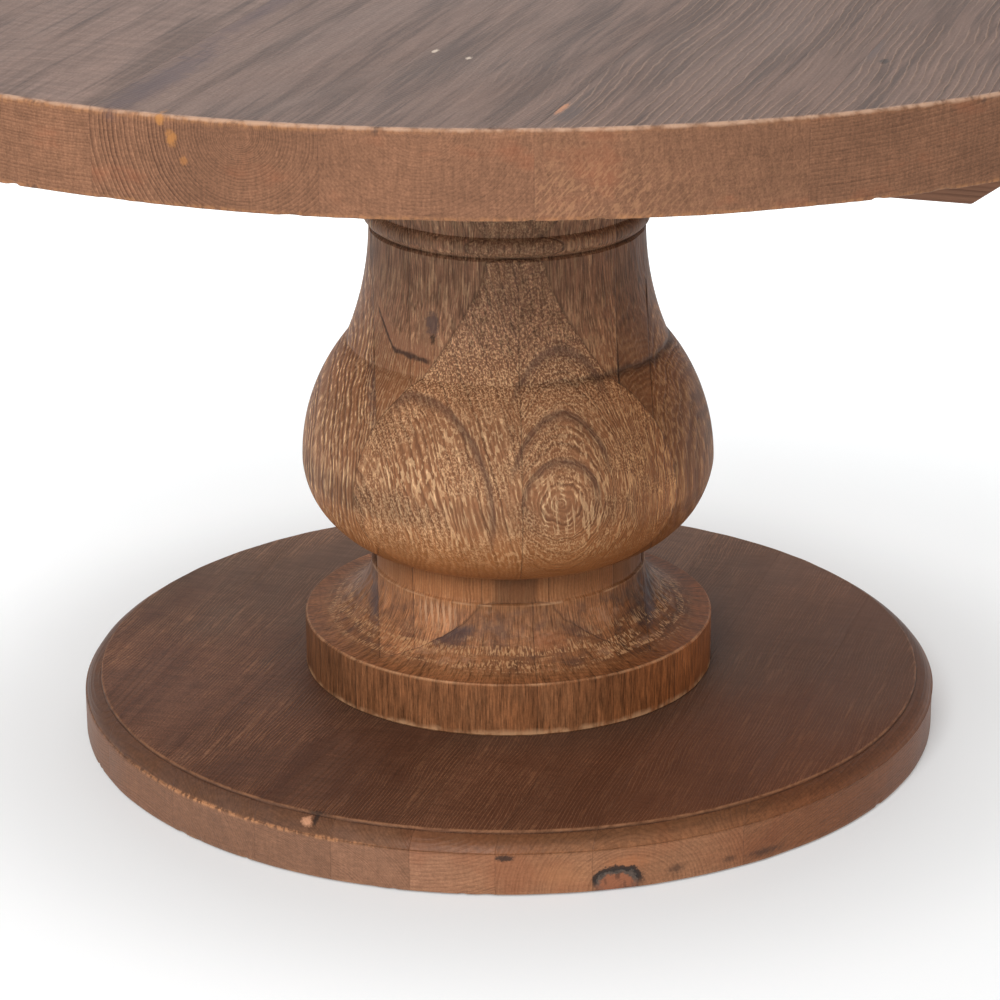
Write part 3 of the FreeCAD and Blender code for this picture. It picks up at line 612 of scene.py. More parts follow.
TAN_LIGHT = srgb(224, 184, 140)
TAN_MID = srgb(139, 95, 65)
TAN_DARK = srgb(80, 51, 36)
BAND_DARK = srgb(86, 60, 48)
# painted shade: dark grey patches on the column's left and right side blocks, near their edges
SIDE_SHADE = srgb(74, 64, 66)

# the dark arches of late wood on the belly's front, in the column's axes: centre across and up, squeeze
# across at each distance of ARCH_SPREAD, and for each arch its radius and the height it fades below
ARCH_SPREAD = (0.030, 0.055, 0.095)
ARCHES = {
    "left": (-0.086, 0.262, (1.62, 1.62, 1.62), ((0.103, 0.225),)),
    "right": (0.038, 0.279, (1.05, 1.65, 2.20), ((0.038, 0.262), (0.077, 0.292), (0.127, 0.352))),
}
ARCH_SHADE = 0.011
PLINTH_ARRIS = 0.1062
COVE_LEDGE = 0.158
BAND_CREASE = 0.1845
NECK_CREASE = 0.378
GROOVE = 0.488
ARCH_FADE = 0.030
RIGHT_ARCHES_FROM = -0.016
LEFT_ARCH_FROM = -0.116


def column_point(g):
    """The surface point in the column's own axes, turned back by the column's yaw."""
    turn = g.node("ShaderNodeVectorRotate", {"Vector": object_point(g), "Angle": -COLUMN_YAW},
                  rotation_type="Z_AXIS")
    return turn.outputs[0]


def arch_reach(g, x, z, side):
    """Distance from the middle of one side's arches."""
    centre, level, squeeze = ARCHES[side][:3]
    across = x - centre
    up = z - level
    plain = g.length(g.join(across, up, 0.0))
    near, middle, far = ARCH_SPREAD
    narrow = g.step(plain, near, middle, squeeze[0], squeeze[1])
    narrow = narrow + g.step(plain, middle, far, 0.0, squeeze[2] - squeeze[1])
    return g.length(g.join(across * narrow, up, 0.0))


def arch_mask(g, x, z, side, wobble):
    """Dark late-wood arches: each grows from inside and stops sharply on its outer line."""
    far = arch_reach(g, x, z, side) + wobble
    marks = []
    for radius, fade in ARCHES[side][3]:
        inner = g.step(far, radius - ARCH_SHADE, radius - 0.001)
        mark = inner * g.fall(far, radius + 0.0005, radius + 0.005)
        marks.append(mark * g.step(z, fade, fade + ARCH_FADE))
    start = RIGHT_ARCHES_FROM if side == "right" else LEFT_ARCH_FROM
    return reduce(g.most, marks) * g.step(x, start, start + 0.012)


def column_material(name, seed, pith, rings=0.21, tone=1.0, lines=0.5, strokes=0.7, specks=0.0, slant=0.0,
                    arches=(), ovals=False, planes=(), spots=(), contrast=1.0, crack=False):
    """Turned wood with upright grain, brushed so that pale strokes stand out of the dark stain.

    lines is the strength of the growth-ring lines, strokes of the pale strokes and specks of the
    tool's chatter above the crease; planes are glue planes as (axis, place) in the column's axes.
    """
    material, g, shader = new_material(name)
    point = column_point(g)
    x, y, z = g.split(point)
    lean = (z - 0.262) * slant
    sway = (g.noise(point, (26, 26, 14), detail=3, rough=0.6) - 0.5) * 0.016
    if ovals:
        quiver = (g.noise(point, (80, 80, 60), detail=3, rough=0.6) - 0.5) * 0.012
        section = g.join(arch_reach(g, x, z, "right") + sway + quiver, 0.0, z)
    else:
        section = g.join(x - pith[0] + lean + sway, y - pith[1], z)
    late, saw, fibre, blotch = grain(g, section, rings, 1.0, 0.010, seed)
    leaned = g.join(x + lean, y, z + seed)

    breaks = g.noise(leaned, (170, 170, 46), detail=3, rough=0.6)
    body = g.mix(late * 0.80 * lines, TAN_MID, TAN_DARK)
    pale_line = g.step(saw, 0.02, 0.14) * g.fall(saw, 0.26, 0.50) * g.step(breaks, 0.42, 0.62)

    wave = g.noise(leaned, (300, 300, 36), detail=2, rough=0.6)
    pale_line = pale_line * g.step(wave, 0.42, 0.56, 0.35, 1.0)
    calm = g.noise(leaned, (18, 18, 12), detail=2)
    stroke = g.step(wave, 0.53, 0.59) * g.step(calm, 0.34, 0.54, 0.25, 1.0)
    chatter = g.noise(leaned, (680, 680, 460), detail=1, rough=0.5)
    pale_speck = g.step(chatter, 0.50, 0.60)
    upper = g.step(z, 0.335, 0.385)
    low_calm = g.step(z, 0.200, 0.232, 0.20, 1.0)
    inner = g.step(g.noise(point, (21, 21, 21), detail=2), 0.47, 0.58)
    zone = g.most(upper * min(1.0, specks * 1.5), inner * specks)
    marks = g.most(stroke * strokes, pale_line * lines)
    marks = marks * (1.0 - zone * 0.75) + pale_speck * zone * g.step(z, 0.40, 0.44, 0.52, 0.42)
    marks = marks * low_calm
    body = g.mix(marks * contrast, body, TAN_LIGHT)
    pit = g.fall(chatter, 0.38, 0.48) * zone * 0.50
    body = g.mix(pit, body, TAN_DARK)

    if arches:
        wobble = (g.noise(point, 34, detail=3) - 0.5) * 0.008
        dark = reduce(g.most, [arch_mask(g, x, z, side, wobble) for side in arches])
        body = g.mix(dark * 0.66, body, BAND_DARK)

    warm = g.step(z, 0.195, 0.275, 0.55, 0.0) * g.step(z, 0.183, 0.186, 0.40, 1.0)
    body = g.mix(warm, body, srgb(164, 106, 58))
    body = g.mix(g.step(z, 0.36, 0.43, 0.0, 0.34), body, srgb(120, 96, 84))
    # painted shade: darker up the neck and on the right side
    neck_and_right_shade = g.step(z, 0.425, 0.475, 1.0, 0.80) * g.step(x, 0.05, 0.14, 1.0, 0.80)
    patch = g.noise(point, (17, 17, 9), detail=4, rough=0.62)
    shade = 0.48 + patch * 0.66 + fibre * 0.40
    brushed = (g.noise(leaned, (420, 420, 30), detail=2, rough=0.6) - 0.5) * 2.3
    shade = shade * (1.0 + brushed * g.step(z, 0.385, 0.425))
    shade = shade * dust(g, g.stretch(point, 1.0, 1.0, 0.7), 0.45)
    body = g.tint(body, neck_and_right_shade * tone * shade)
    body = g.mix(g.step(patch, 0.56, 0.74, 0.0, 0.35), body, srgb(122, 76, 44))
    # painted light: a warm, deeper colour towards the right side
    body = warmed(g, body, g.step(x, 0.03, 0.15), (1.0, 0.83, 0.64))
    body = warmed(g, body, g.fall(z, 0.185, 0.270) * g.step(z, 0.15, 0.186, 0.25, 1.0), (0.98, 0.91, 0.83))
    # painted light and shade: lighter on the belly's upper part, darker again up the neck
    body = g.tint(body, g.step(z, 0.335, 0.36, 1.05, 1.24) * g.step(z, 0.40, 0.46, 1.0, 0.80))
    # painted light and shade: lighter on the left, lighter on the band and below, darker on the lowest part
    # of the belly
    body = g.tint(body, g.step(z, 0.183, 0.186, 1.06, 1.0) * g.step(x, -0.06, 0.02, 1.12, 1.0))
    body = g.tint(body, g.step(z, 0.195, 0.250, 0.90, 0.97) * g.step(x, -0.08, 0.0, 1.04, 1.0))
    # painted shade: a cooler, darker tone on the neck's right
    body = warmed(g, body, g.step(z, 0.37, 0.43) * g.step(x, -0.06, 0.04), (0.95, 0.90, 0.86))

    height = marks * 0.7 + (1.0 - late) * 0.4 * lines
    if planes:
        glue = reduce(g.most, [near_plane(g, (x, y)[axis], place, 0.0009) for axis, place in planes])
        body = g.mix(glue * 0.42, body, srgb(52, 36, 28))
        height = height - glue * 0.4
    body = foot_marks(g, body, point)
    body = blots(g, body, point, spots)
    if crack:
        body = knot_crack(g, body, point)
    body = turned_shade_and_wear(g, body, point)
    finish_wood(g, shader, body, height, 0.44 + blotch * 0.2, 0.8, 0.0014)
    return material


def knot_crack(g, body, point):
    """A drying crack hooked round a knot on the neck's left, with paler wood above it."""
    x, _, z = g.split(point)
    ragged = (g.noise(point, 150, detail=2) - 0.5) * 0.005
    steep = 0.396 - (x + 0.108) * 2.4
    gentle = 0.3965 - (x + 0.108) * 0.13
    line = z + ragged - g.most(steep, gentle)
    ends = g.step(x, -0.124, -0.117) * g.fall(x, -0.080, -0.072)
    above = g.step(line, 0.0, 0.002) * g.fall(line, 0.009, 0.018) * ends
    body = g.mix(above * 0.60, body, srgb(168, 120, 92))
    gap = g.fall(abs(line), 0.0007, 0.0034) * ends
    return g.mix(gap * 0.80, body, srgb(58, 44, 42))


def foot_marks(g, body, point):
    """On the foot, pale brushed dashes run down the slope in rows, over short streaks round it."""
    x, y, z = g.split(point)
    arc = g.math("ARCTAN2", y, x) * 0.17
    reach = g.length(g.join(x, y, 0.0))
    streak = g.noise(g.join(arc * 300, reach * 46, z * 26), detail=3, rough=0.6)
    low = g.fall(z, 0.155, 0.165)
    hair = g.noise(g.join(arc * 900, reach * 90, z * 60), detail=3, rough=0.65)
    uneven = (streak - 0.5) * 1.5 + (hair - 0.5) * 2.5
    body = g.tint(body, 1.0 + uneven * low)
    cove = g.step(z, 0.107, 0.112) * g.fall(z, 0.150, 0.160)
    stain = g.noise(g.join(arc * 34, reach * 60, z * 40), detail=4, rough=0.68)
    body = g.mix(g.step(stain, 0.42, 0.68, 0.0, 0.56) * cove, body, srgb(80, 58, 48))
    body = g.mix(g.step(stain, 0.30, 0.46, 0.35, 0.0) * cove, body, srgb(168, 128, 98))
    body = warmed(g, body, cove, (1.06, 1.08, 1.15))
    body = warmed(g, body, g.fall(z, 0.1055, 0.1085), (1.06, 1.00, 0.99))
    teeth = g.step(g.math("SINE", (x + stain * 0.006) * 1180), -0.1, 0.7)
    teeth = teeth * g.fall(abs(x + 0.071), 0.012, 0.020) * g.step(z, 0.128, 0.146) * g.step(y, -0.09, -0.10)
    body = g.mix(teeth * cove * 0.60, body, srgb(204, 160, 124))
    # painted shade: the cove darker on the right
    far_side = g.step(x, 0.05, 0.12) * g.step(stain, 0.34, 0.66, -0.16, -0.52)
    body = g.tint(body, 1.0 + cove * far_side)
    worn = g.noise(g.join(arc * 30, 0.0, z * 24), detail=4, rough=0.65)
    # painted light and shade: the plinth's face lighter on the right and darker on the left
    side = g.step(x, 0.08, 0.15, 0.84, 1.24) * g.step(x, -0.17, -0.08, 0.88, 1.0)
    side = side * (0.66 + worn * 0.68)
    body = g.tint(body, g.step(reach, 0.1915, 0.1930, 1.0, side))
    rows = g.noise(g.join(arc * 16, reach * 150, 0.0), detail=2, rough=0.6)
    sloped = g.step(z, 0.1075, 0.111) * g.step(z, 0.118, 0.138, 1.0, 0.15)
    dash = g.noise(g.join(arc * 500, reach * 190, 3.0), detail=2, rough=0.5)
    mask = g.step(dash, 0.49, 0.58) * g.step(rows, 0.44, 0.54) * sloped
    return g.mix(mask * 0.72, body, srgb(192, 148, 106))


def turned_shade_and_wear(g, body, point):
    """Painted shade in the turned lines and pale wear on the plinth's arrises."""
    x, y, z = g.split(point)
    reach = g.length(g.join(x, y, 0.0))
    wear = g.noise(point, (60, 60, 60), detail=3, rough=0.6)
    uneven = z + (wear - 0.5) * 0.010
    # painted shade in the neck crease, stronger towards the right, in the groove and in the band crease
    crease = near_plane(g, uneven, NECK_CREASE, 0.0060) * g.step(x, -0.03, 0.11, 0.10, 0.95)
    crease = g.most(crease, near_plane(g, z, GROOVE, 0.0022) * 0.7)
    crease = g.most(crease, near_plane(g, z, BAND_CREASE, 0.0018))
    body = g.mix(crease * 0.66, body, srgb(48, 33, 26))
    ledge = near_plane(g, z, COVE_LEDGE, 0.0018) * g.step(wear, 0.40, 0.60)
    body = g.mix(ledge * 0.5, body, srgb(200, 156, 118))
    outer = g.step(reach, 0.1905, 0.1925)
    arris = near_plane(g, z, PLINTH_ARRIS, 0.0010 + wear * 0.0016)
    foot = g.fall(z, 0.0575, 0.0590 + wear * 0.009)
    worn = g.most(arris * 0.6, foot) * outer * g.step(wear, 0.38, 0.62, 0.15, 1.0)
    return g.mix(worn * 0.72, body, srgb(204, 158, 118))


# ---- plain materials -----------------------------------------------------------------------------

def batten_material(name, seed, tone):
    """Sawn wood with the grain along X."""
    material, g, shader = new_material(name)
    x, y, z = g.split(object_point(g))
    late, _, fibre, blotch = grain(g, g.join(y + 0.2, z - 0.5, x), 0.35, 1.0, 0.02, seed)
    colour = g.mix(late * 0.6, srgb(128, 92, 72), srgb(80, 54, 42))
    colour = g.tint(colour, tone * (0.75 + fibre * 0.5))
    finish_wood(g, shader, colour, late * 0.5 + fibre * 0.5, 0.5 + blotch * 0.2, 0.5, 0.0006)
    return material


def dowel_material():
    material, g, shader = new_material("raw_beech")
    x, y, z = g.split(object_point(g))
    late, _, fibre, blotch = grain(g, g.join(y + 0.03, z, x), 0.8, 1.0, 0.01, 9.0)
    colour = g.mix(late * 0.5, srgb(214, 178, 132), srgb(178, 136, 92))
    finish_wood(g, shader, g.tint(colour, 0.85 + fibre * 0.3), fibre, 0.5 + blotch * 0.2, 0.4, 0.0003)
    return material


def metal_material(name, light, dark, rough):
    """Plated metal with tarnished patches and fine turning scratches."""
    material, g, shader = new_material(name)
    point = object_point(g)
    patch = g.noise(point, 160, detail=4, rough=0.65)
    scratch = g.noise(point, (300, 300, 2600), detail=2)
    g.put(shader.inputs["Base Color"], g.mix(g.step(patch, 0.4, 0.7), light, dark))
    g.put(shader.inputs["Roughness"], rough + scratch * 0.22)
    shader.inputs["Metallic"].default_value = 1.0
    lift = g.node("ShaderNodeBump", {"Strength": 0.3, "Distance": 0.0002, "Height": scratch})
    g.put(shader.inputs["Normal"], lift.outputs[0])
    return material


def nylon_material():
    material, g, shader = new_material("dark_nylon")
    speck = g.noise(object_point(g), 900, detail=3)
    g.put(shader.inputs["Base Color"], g.mix(speck, srgb(34, 32, 30), srgb(56, 53, 50)))
    g.put(shader.inputs["Roughness"], 0.45 + speck * 0.25)
    lift = g.node("ShaderNodeBump", {"Strength": 0.3, "Distance": 0.0002, "Height": speck})
    g.put(shader.inputs["Normal"], lift.outputs[0])
    return material


# ---- meshes --------------------------------------------------------------------------------------

def ripple(angle, low, high, seed):
    """A smooth random curve round the circle, about -1 to 1, made of waves low to high per turn."""
    random = np.random.default_rng(seed)
    waves = np.arange(low, high + 1)
    phases = random.uniform(0, 2 * math.pi, len(waves))
    sizes = random.uniform(0.4, 1.0, len(waves))
    total = np.zeros_like(angle)
    for wave, phase, amount in zip(waves, phases, sizes):
        total += amount * np.cos(wave * angle + phase)
    return total / np.sqrt(np.sum(sizes ** 2) * 2)


def chips(angle, count, depth, width, seed):
    """Small dents at random places round an edge: each a rounded notch up to depth deep."""
    random = np.random.default_rng(seed)
    total = np.zeros_like(angle)
    for _ in range(count):
        place = random.uniform(-math.pi, math.pi)
        wide = width * random.uniform(0.3, 1.0)
        deep = depth * random.uniform(0.3, 1.0)
        gap = np.abs((angle - place + math.pi) % (2 * math.pi) - math.pi)
        total = np.maximum(total, deep * np.clip(1 - (gap / wide) ** 2, 0, 1))
    return total


def closed_turning(radii, heights):
    """A closed bmesh from rows of rings (arrays of rows by angles); the first and last rings are capped."""
    rows, columns = radii.shape
    angles = np.linspace(0, 2 * math.pi, columns, endpoint=False)
    bm = bmesh.new()
    rings = []
    for row in range(rows):
        xs = radii[row] * np.cos(angles)
        ys = radii[row] * np.sin(angles)
        zs = heights[row]
        rings.append([bm.verts.new((xs[i], ys[i], zs[i])) for i in range(columns)])
    for lower, upper in zip(rings, rings[1:]):
        for i in range(columns):
            following = (i + 1) % columns
            bm.faces.new((lower[i], lower[following], upper[following], upper[i]))
    bm.faces.new(list(reversed(rings[0])))
    bm.faces.new(rings[-1])
    return bm


def keep_side(bm, point, normal):
    """Cut a closed bmesh with a plane, drop what lies on the normal's side, and close the cut."""
    made = bmesh.ops.bisect_plane(bm, geom=bm.verts[:] + bm.edges[:] + bm.faces[:], dist=1e-7,
                                  plane_co=point, plane_no=normal, clear_outer=True)
    edges = [item for item in made["geom_cut"] if isinstance(item, bmesh.types.BMEdge)]
    edges = [edge for edge in edges if edge.is_valid and edge.is_boundary]
    if edges:
        bmesh.ops.holes_fill(bm, edges=edges, sides=0)


def cut_copy(source, planes):
    """A copy of a closed bmesh cut by planes, each (point, outward normal)."""
    bm = source.copy()
    for point, normal in planes:
        keep_side(bm, Vector(point), Vector(normal))
    return bm


def to_piece(bm, name, node, material, turn=0.0):
    """Make a shown object from a bmesh, standing for one CAD node."""
    if turn:
        bm.transform(Matrix.Rotation(turn, 4, "Z"))
    sharp = math.radians(32)
    for face in bm.faces:
        face.smooth = True
    for edge in bm.edges:
        edge.smooth = len(edge.link_faces) == 2 and edge.calc_face_angle(0.0) < sharp
    mesh = bpy.data.meshes.new(name)
    bm.to_mesh(mesh)
    bm.free()
    piece = bpy.data.objects.new(name, mesh)
    bpy.context.scene.collection.objects.link(piece)
    mesh.materials.append(material)
    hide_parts(node)
    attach(piece, "root")


def arc_points(start, end, radius, side, count):
    """Points along an arc from start towards end, end left out; side +1 bulges left of the way along."""
    start, end = np.array(start), np.array(end)
    chord = end - start
    half = np.hypot(*chord) / 2
    normal = np.array([-chord[1], chord[0]]) / (2 * half)
    centre = (start + end) / 2 - normal * side * math.sqrt(radius ** 2 - half ** 2)
    first = math.atan2(*(start - centre)[::-1])
    sweep = 2 * math.asin(half / radius) * (-side)
    turns = first + sweep * np.arange(count) / count
    return [(centre[0] + radius * math.cos(a), centre[1] + radius * math.sin(a)) for a in turns]


def line_points(start, end, count):
    """Points along a straight run, end left out."""
    shares = np.arange(count) / count
    return [(start[0] + (end[0] - start[0]) * s, start[1] + (end[1] - start[1]) * s) for s in shares]


# ---- the top -------------------------------------------------------------------------------------

TOP_INNER_RINGS = (0.35, 0.62, 0.685)
CORNER_TURNS = np.linspace(0, math.pi / 2, 6)


def top_turning():
    """The top's disc, with eased, uneven and chipped arrises round an upright rim."""
    columns = int(2600 * FINE)
    angle = np.linspace(0, 2 * math.pi, columns, endpoint=False)
    high_ease = (3.6 + 1.2 * ripple(angle, 5, 60, 1) + 0.6 * ripple(angle, 60, 400, 2)) * MM
    high_ease = np.clip(high_ease, 1.2 * MM, 6 * MM) + chips(angle, 46, 4.0 * MM, 0.012, 3)
    low_ease = (1.9 + 0.8 * ripple(angle, 5, 60, 4) + 0.5 * ripple(angle, 60, 400, 5)) * MM
    low_ease = np.clip(low_ease, 0.8 * MM, 4 * MM) + chips(angle, 60, 4.5 * MM, 0.014, 6)
    sway = 0.35 * MM * (1 + ripple(angle, 3, 40, 7))
    radii, heights = [], []
    for inner in TOP_INNER_RINGS:
        radii.append(np.full(columns, inner))
        heights.append(np.full(columns, TOP_LOW))
    for turn in CORNER_TURNS:
        radii.append(TOP_RADIUS - sway - low_ease * (1 - math.sin(turn)))
        heights.append(TOP_LOW + low_ease * (1 - math.cos(turn)))
    for share in np.linspace(0, 1, 14)[1:-1]:
        wave = 0.18 * MM * ripple(angle, 20, 240, int(20 + share * 50))
        radii.append(TOP_RADIUS - sway - np.abs(wave))
        heights.append((TOP_LOW + low_ease) * (1 - share) + (TOP_HIGH - high_ease) * share)
    for turn in CORNER_TURNS:
        radii.append(TOP_RADIUS - sway - high_ease * (1 - math.cos(turn)))
        heights.append(TOP_HIGH - high_ease * (1 - math.sin(turn)))
    for inner in reversed(TOP_INNER_RINGS):
        radii.append(np.full(columns, inner))
        heights.append(np.full(columns, TOP_HIGH))
    return closed_turning(np.array(radii), np.array(heights))


def side_cuts(low, high, radius):
    """The two upright planes along Y at a board's edges, leaving out those beyond the disc."""
    planes = []
    if low > -radius + MM:
        planes.append(((low, 0, 0), (-1, 0, 0)))
    if high < radius - MM:
        planes.append(((high, 0, 0), (1, 0, 0)))
    return planes


def make_boards(label, count, radius, turning, make_material):
    """Cut a turned disc into the boards of the frame, each between its own CAD node's sides."""
    for index in range(count):
        node = "%s_%d" % (label, index + 1)
        corner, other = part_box(node)
        low, high = corner[0], other[0]
        bm = cut_copy(turning, side_cuts(low, high, radius))
        to_piece(bm, node + "_wood", node, make_material(index, low, high))
    turning.free()


# ---- the base ------------------------------------------------------------------------------------

SIDE_TOP = 0.0394
EDGE_LOW = 0.0415
EDGE_HIGH = 0.053
EDGE_ARC = 0.0185
EDGE_OVERHANG = 1.3 * MM
NICKS_TOP = 0.006


def base_turning():
    """The base's disc: upright side, a fold, a rounded-over edge, a small step and a flat top."""
    columns = int(1800 * FINE)
    angle = np.linspace(0, 2 * math.pi, columns, endpoint=False)
    sway = 0.3 * MM * (1 + ripple(angle, 3, 50, 11))
    nicks = chips(angle, 26, 1.2 * MM, 0.02, 12)
    outline = [(0.30, BASE_LOW), (0.402, BASE_LOW), (0.4043, BASE_LOW + 0.0007)]
    outline += line_points((BASE_RADIUS, BASE_LOW + 0.003), (BASE_RADIUS, SIDE_TOP), 12)
    outline += [(0.4049, 0.0404), (0.4044, 0.0412)]
    outline += arc_points((0.4036, EDGE_LOW), (BASE_FLAT_RADIUS, 0.0532), EDGE_ARC, -1, 12)
    outline += [(0.3901, 0.0531), (0.3897, 0.0550), (0.3890, 0.0557), (0.3875, BASE_TOP)]
    outline += [(0.36, BASE_TOP), (0.30, BASE_TOP), (0.19, BASE_TOP)]
    radii = np.array([np.full(columns, r) for r, _ in outline])
    heights = np.array([np.full(columns, z) for _, z in outline])
    smooth = np.clip((np.cos(angle) + 0.40) / 0.40, 0, 1)
    for row, (r, z) in enumerate(outline):
        if r > 0.395:
            radii[row] -= sway + (nicks if z < NICKS_TOP else 0)
            if 0.041 < z < EDGE_HIGH:
                radii[row] += EDGE_OVERHANG * smooth * (EDGE_HIGH - z) / 0.012
        elif r > 0.3885 and z > 0.05:
            radii[row] -= 0.4 * MM * (1 + ripple(angle, 4, 70, 13))
    return closed_turning(radii, heights)


# ---- the column ----------------------------------------------------------------------------------

def column_outline():
    """The turned outline from the base up to the plate, as (radius, height)."""
    rows = line_points((0.1925, 0.056), (0.1938, 0.0575), 2)
    rows += line_points((0.1938, 0.0575), (0.1938, 0.1052), 16)
    rows += arc_points((0.1938, 0.1052), (0.1922, 0.1070), 0.0018, 1, 4)
    rows += arc_points((0.1922, 0.1070), (0.1300, 0.1560), 0.060, 1, 30)
    rows += arc_points((0.1300, 0.1560), (0.1290, 0.1590), 0.003, -1, 3)
    rows += [(0.1272, 0.1594), (0.1266, 0.1606)]
    rows += line_points((0.1264, 0.1620), (0.1264, 0.1830), 7)
    rows += [(0.1266, 0.1836)]
    rows += arc_points((0.1290, 0.1846), (0.1934, 0.2600), 0.086, -1, 46)
    rows += arc_points((0.1934, 0.2600), (0.1510, 0.3772), 0.180, -1, 50)
    rows += [(0.1498, NECK_CREASE), (0.1495, 0.3792)]
    rows += arc_points((0.1495, 0.3800), (0.1280, 0.4840), 0.290, 1, 42)
    rows += [(0.1278, 0.4852), (0.1262, 0.4870), (0.1252, GROOVE), (0.1262, 0.4892)]
    rows += arc_points((0.1285, 0.4905), (0.1290, 0.5065), 0.0098, -1, 12)
    rows += [(0.1278, 0.5075)]
    rows += arc_points((0.1278, 0.5080), (0.1800, 0.5860), 0.105, 1, 26)
    rows += [(0.1800, 0.5860), (0.1865, 0.5864), (0.1878, 0.5876)]
    rows += line_points((0.1880, 0.5890), (0.1880, 0.6440), 10)
    rows += [(0.1880, 0.6440)]
    return rows


def column_turning(low, high, columns):
    """The part of the turned column between two heights, closed at both ends."""
    outline = column_outline()
    radii, levels = zip(*outline)
    rows = [(float(np.interp(low, levels, radii)), low)]
    rows += [(r, z) for r, z in outline if low + 1e-5 < z < high - 1e-5]
    rows.append((float(np.interp(high, levels, radii)), high))
    angle = np.linspace(0, 2 * math.pi, columns, endpoint=False)
    hollow = 0.25 * MM * (1 + ripple(angle, 2, 30, int(low * 1000)))
    grid_r = np.array([r - hollow - arch_depth(r, z, angle) - cove_depth(z, angle) for r, z in rows])
    grid_z = np.array([np.full(columns, z) for _, z in rows])
    return closed_turning(grid_r, grid_z)


def cove_depth(height, angle):
    """How deep the torn grain of the foot's cove lies at one height, round the column."""
    shown = np.clip((height - 0.109) / 0.006, 0, 1) * np.clip((0.156 - height) / 0.010, 0, 1)
    turn = height * 260
    mixed = ripple(angle, 6, 80, 31) * math.cos(turn) + ripple(angle, 6, 80, 32) * math.sin(turn)
    return shown * 0.7 * MM * (1 + mixed)


def arch_depth(radius, height, angle):
    """How deep the brushed arches of the belly's front lie at one height, round the column."""
    across = radius * np.cos(angle)
    depth = np.zeros_like(angle)
    for centre, level, squeeze, arches in ARCHES.values():
        plain = np.hypot(across - centre, height - level)
        far = np.hypot((across - centre) * np.interp(plain, ARCH_SPREAD, squeeze), height - level)
        for arch, fade in arches:
            inside = np.clip((far - arch + ARCH_SHADE) / ARCH_SHADE, 0, 1)
            outside = np.clip((arch + 0.004 - far) / 0.004, 0, 1)
            shown = np.clip((height - fade) / ARCH_FADE, 0, 1)
            depth = np.maximum(depth, 0.8 * MM * inside * outside * shown)
    return np.where(radius * np.sin(angle) < -CORE_HALF, depth, 0.0)


def box_planes(x_low, x_high, y_low, y_high):
    """Outward planes of an upright box; None leaves a side out."""
    planes = []
    for place, normal in ((x_low, (-1, 0, 0)), (x_high, (1, 0, 0))):
        if place is not None:
            planes.append(((place, 0, 0), normal))
    for place, normal in ((y_low, (0, -1, 0)), (y_high, (0, 1, 0))):
        if place is not None:
            planes.append(((0, place, 0), normal))
    return planes


COLUMN_FOOT = 0.056
COLUMN_TOP = 0.644
CORE_SEAMS = (-CORE_HALF, -0.093, -0.031, 0.031, 0.093, CORE_HALF)

KNOT = srgb(88, 74, 74)
FILLER = srgb(160, 120, 92)
CRACK = srgb(36, 27, 24)

# for each core board: pith in the column's axes and the strengths of its figure
CORE_WOOD = [
    dict(pith=(-0.60, 0.40), rings=0.36, tone=0.96, lines=0.6, strokes=0.25, crack=True),
    dict(pith=(-0.55, -0.05), rings=0.40, tone=1.12, lines=0.8, strokes=0.35, crack=True,
         spots=[((-0.078, -0.112, 0.418), (0.016, 0.05, 0.030), FILLER, 0.55, 0.9),
                ((-0.073, -0.112, 0.425), (0.0075, 0.05, 0.015), KNOT, 0.70, 0.6),
                ((-0.073, -0.112, 0.412), (0.0030, 0.05, 0.006), CRACK, 0.7, 0.6),
                ((-0.098, -0.112, 0.384), (0.022, 0.05, 0.007), srgb(164, 108, 74), 0.6, 0.9)]),
    dict(pith=(0.40, 0.20), rings=0.40, tone=1.0, lines=0.5, strokes=0.45),
    dict(pith=(0.60, 0.10), rings=0.38, tone=1.02, lines=0.60, strokes=0.40,
         spots=[((0.086, -0.118, 0.480), (0.006, 0.05, 0.010), srgb(60, 42, 34), 0.6, 0.8)]),
    # painted shade: this board's low tone darkens the neck's right edge
    dict(pith=(0.50, -0.40), rings=0.36, tone=0.72, lines=0.35, strokes=0.15,
         spots=[((0.0935, -0.120, 0.375), (0.0016, 0.05, 0.032), CRACK, 0.7, 0.6)]),
]


def make_core():
    turning = column_turning(COLUMN_FOOT, COLUMN_TOP, int(720 * FINE))
    for index, (low, high) in enumerate(zip(CORE_SEAMS, CORE_SEAMS[1:])):
        node = "core_board_%d" % (index + 1)
        planes = [(0, low), (0, high), (1, -CORE_HALF), (1, CORE_HALF)]
        material = column_material(node + "_wood", 20.0 + 3.1 * index, planes=planes, contrast=0.8,
                                   **CORE_WOOD[index])
        bm = cut_copy(turning, box_planes(low, high, -CORE_HALF, CORE_HALF))
        to_piece(bm, node + "_turned", node, material, COLUMN_YAW)
    turning.free()


# for each kind of face block: heights and the place of the seam between its two front blocks
BLOCK_KINDS = {
    "foot": (COLUMN_FOOT, 0.159, 0.016),
    "belly": (0.184, GROOVE, 0.003),
    "capital": (GROOVE, COLUMN_TOP, None),
}

DARK_WEDGE = srgb(66, 54, 56)
FOOT_WOOD = dict(rings=0.16, tone=0.76, lines=0.40, strokes=0.30, contrast=0.8)

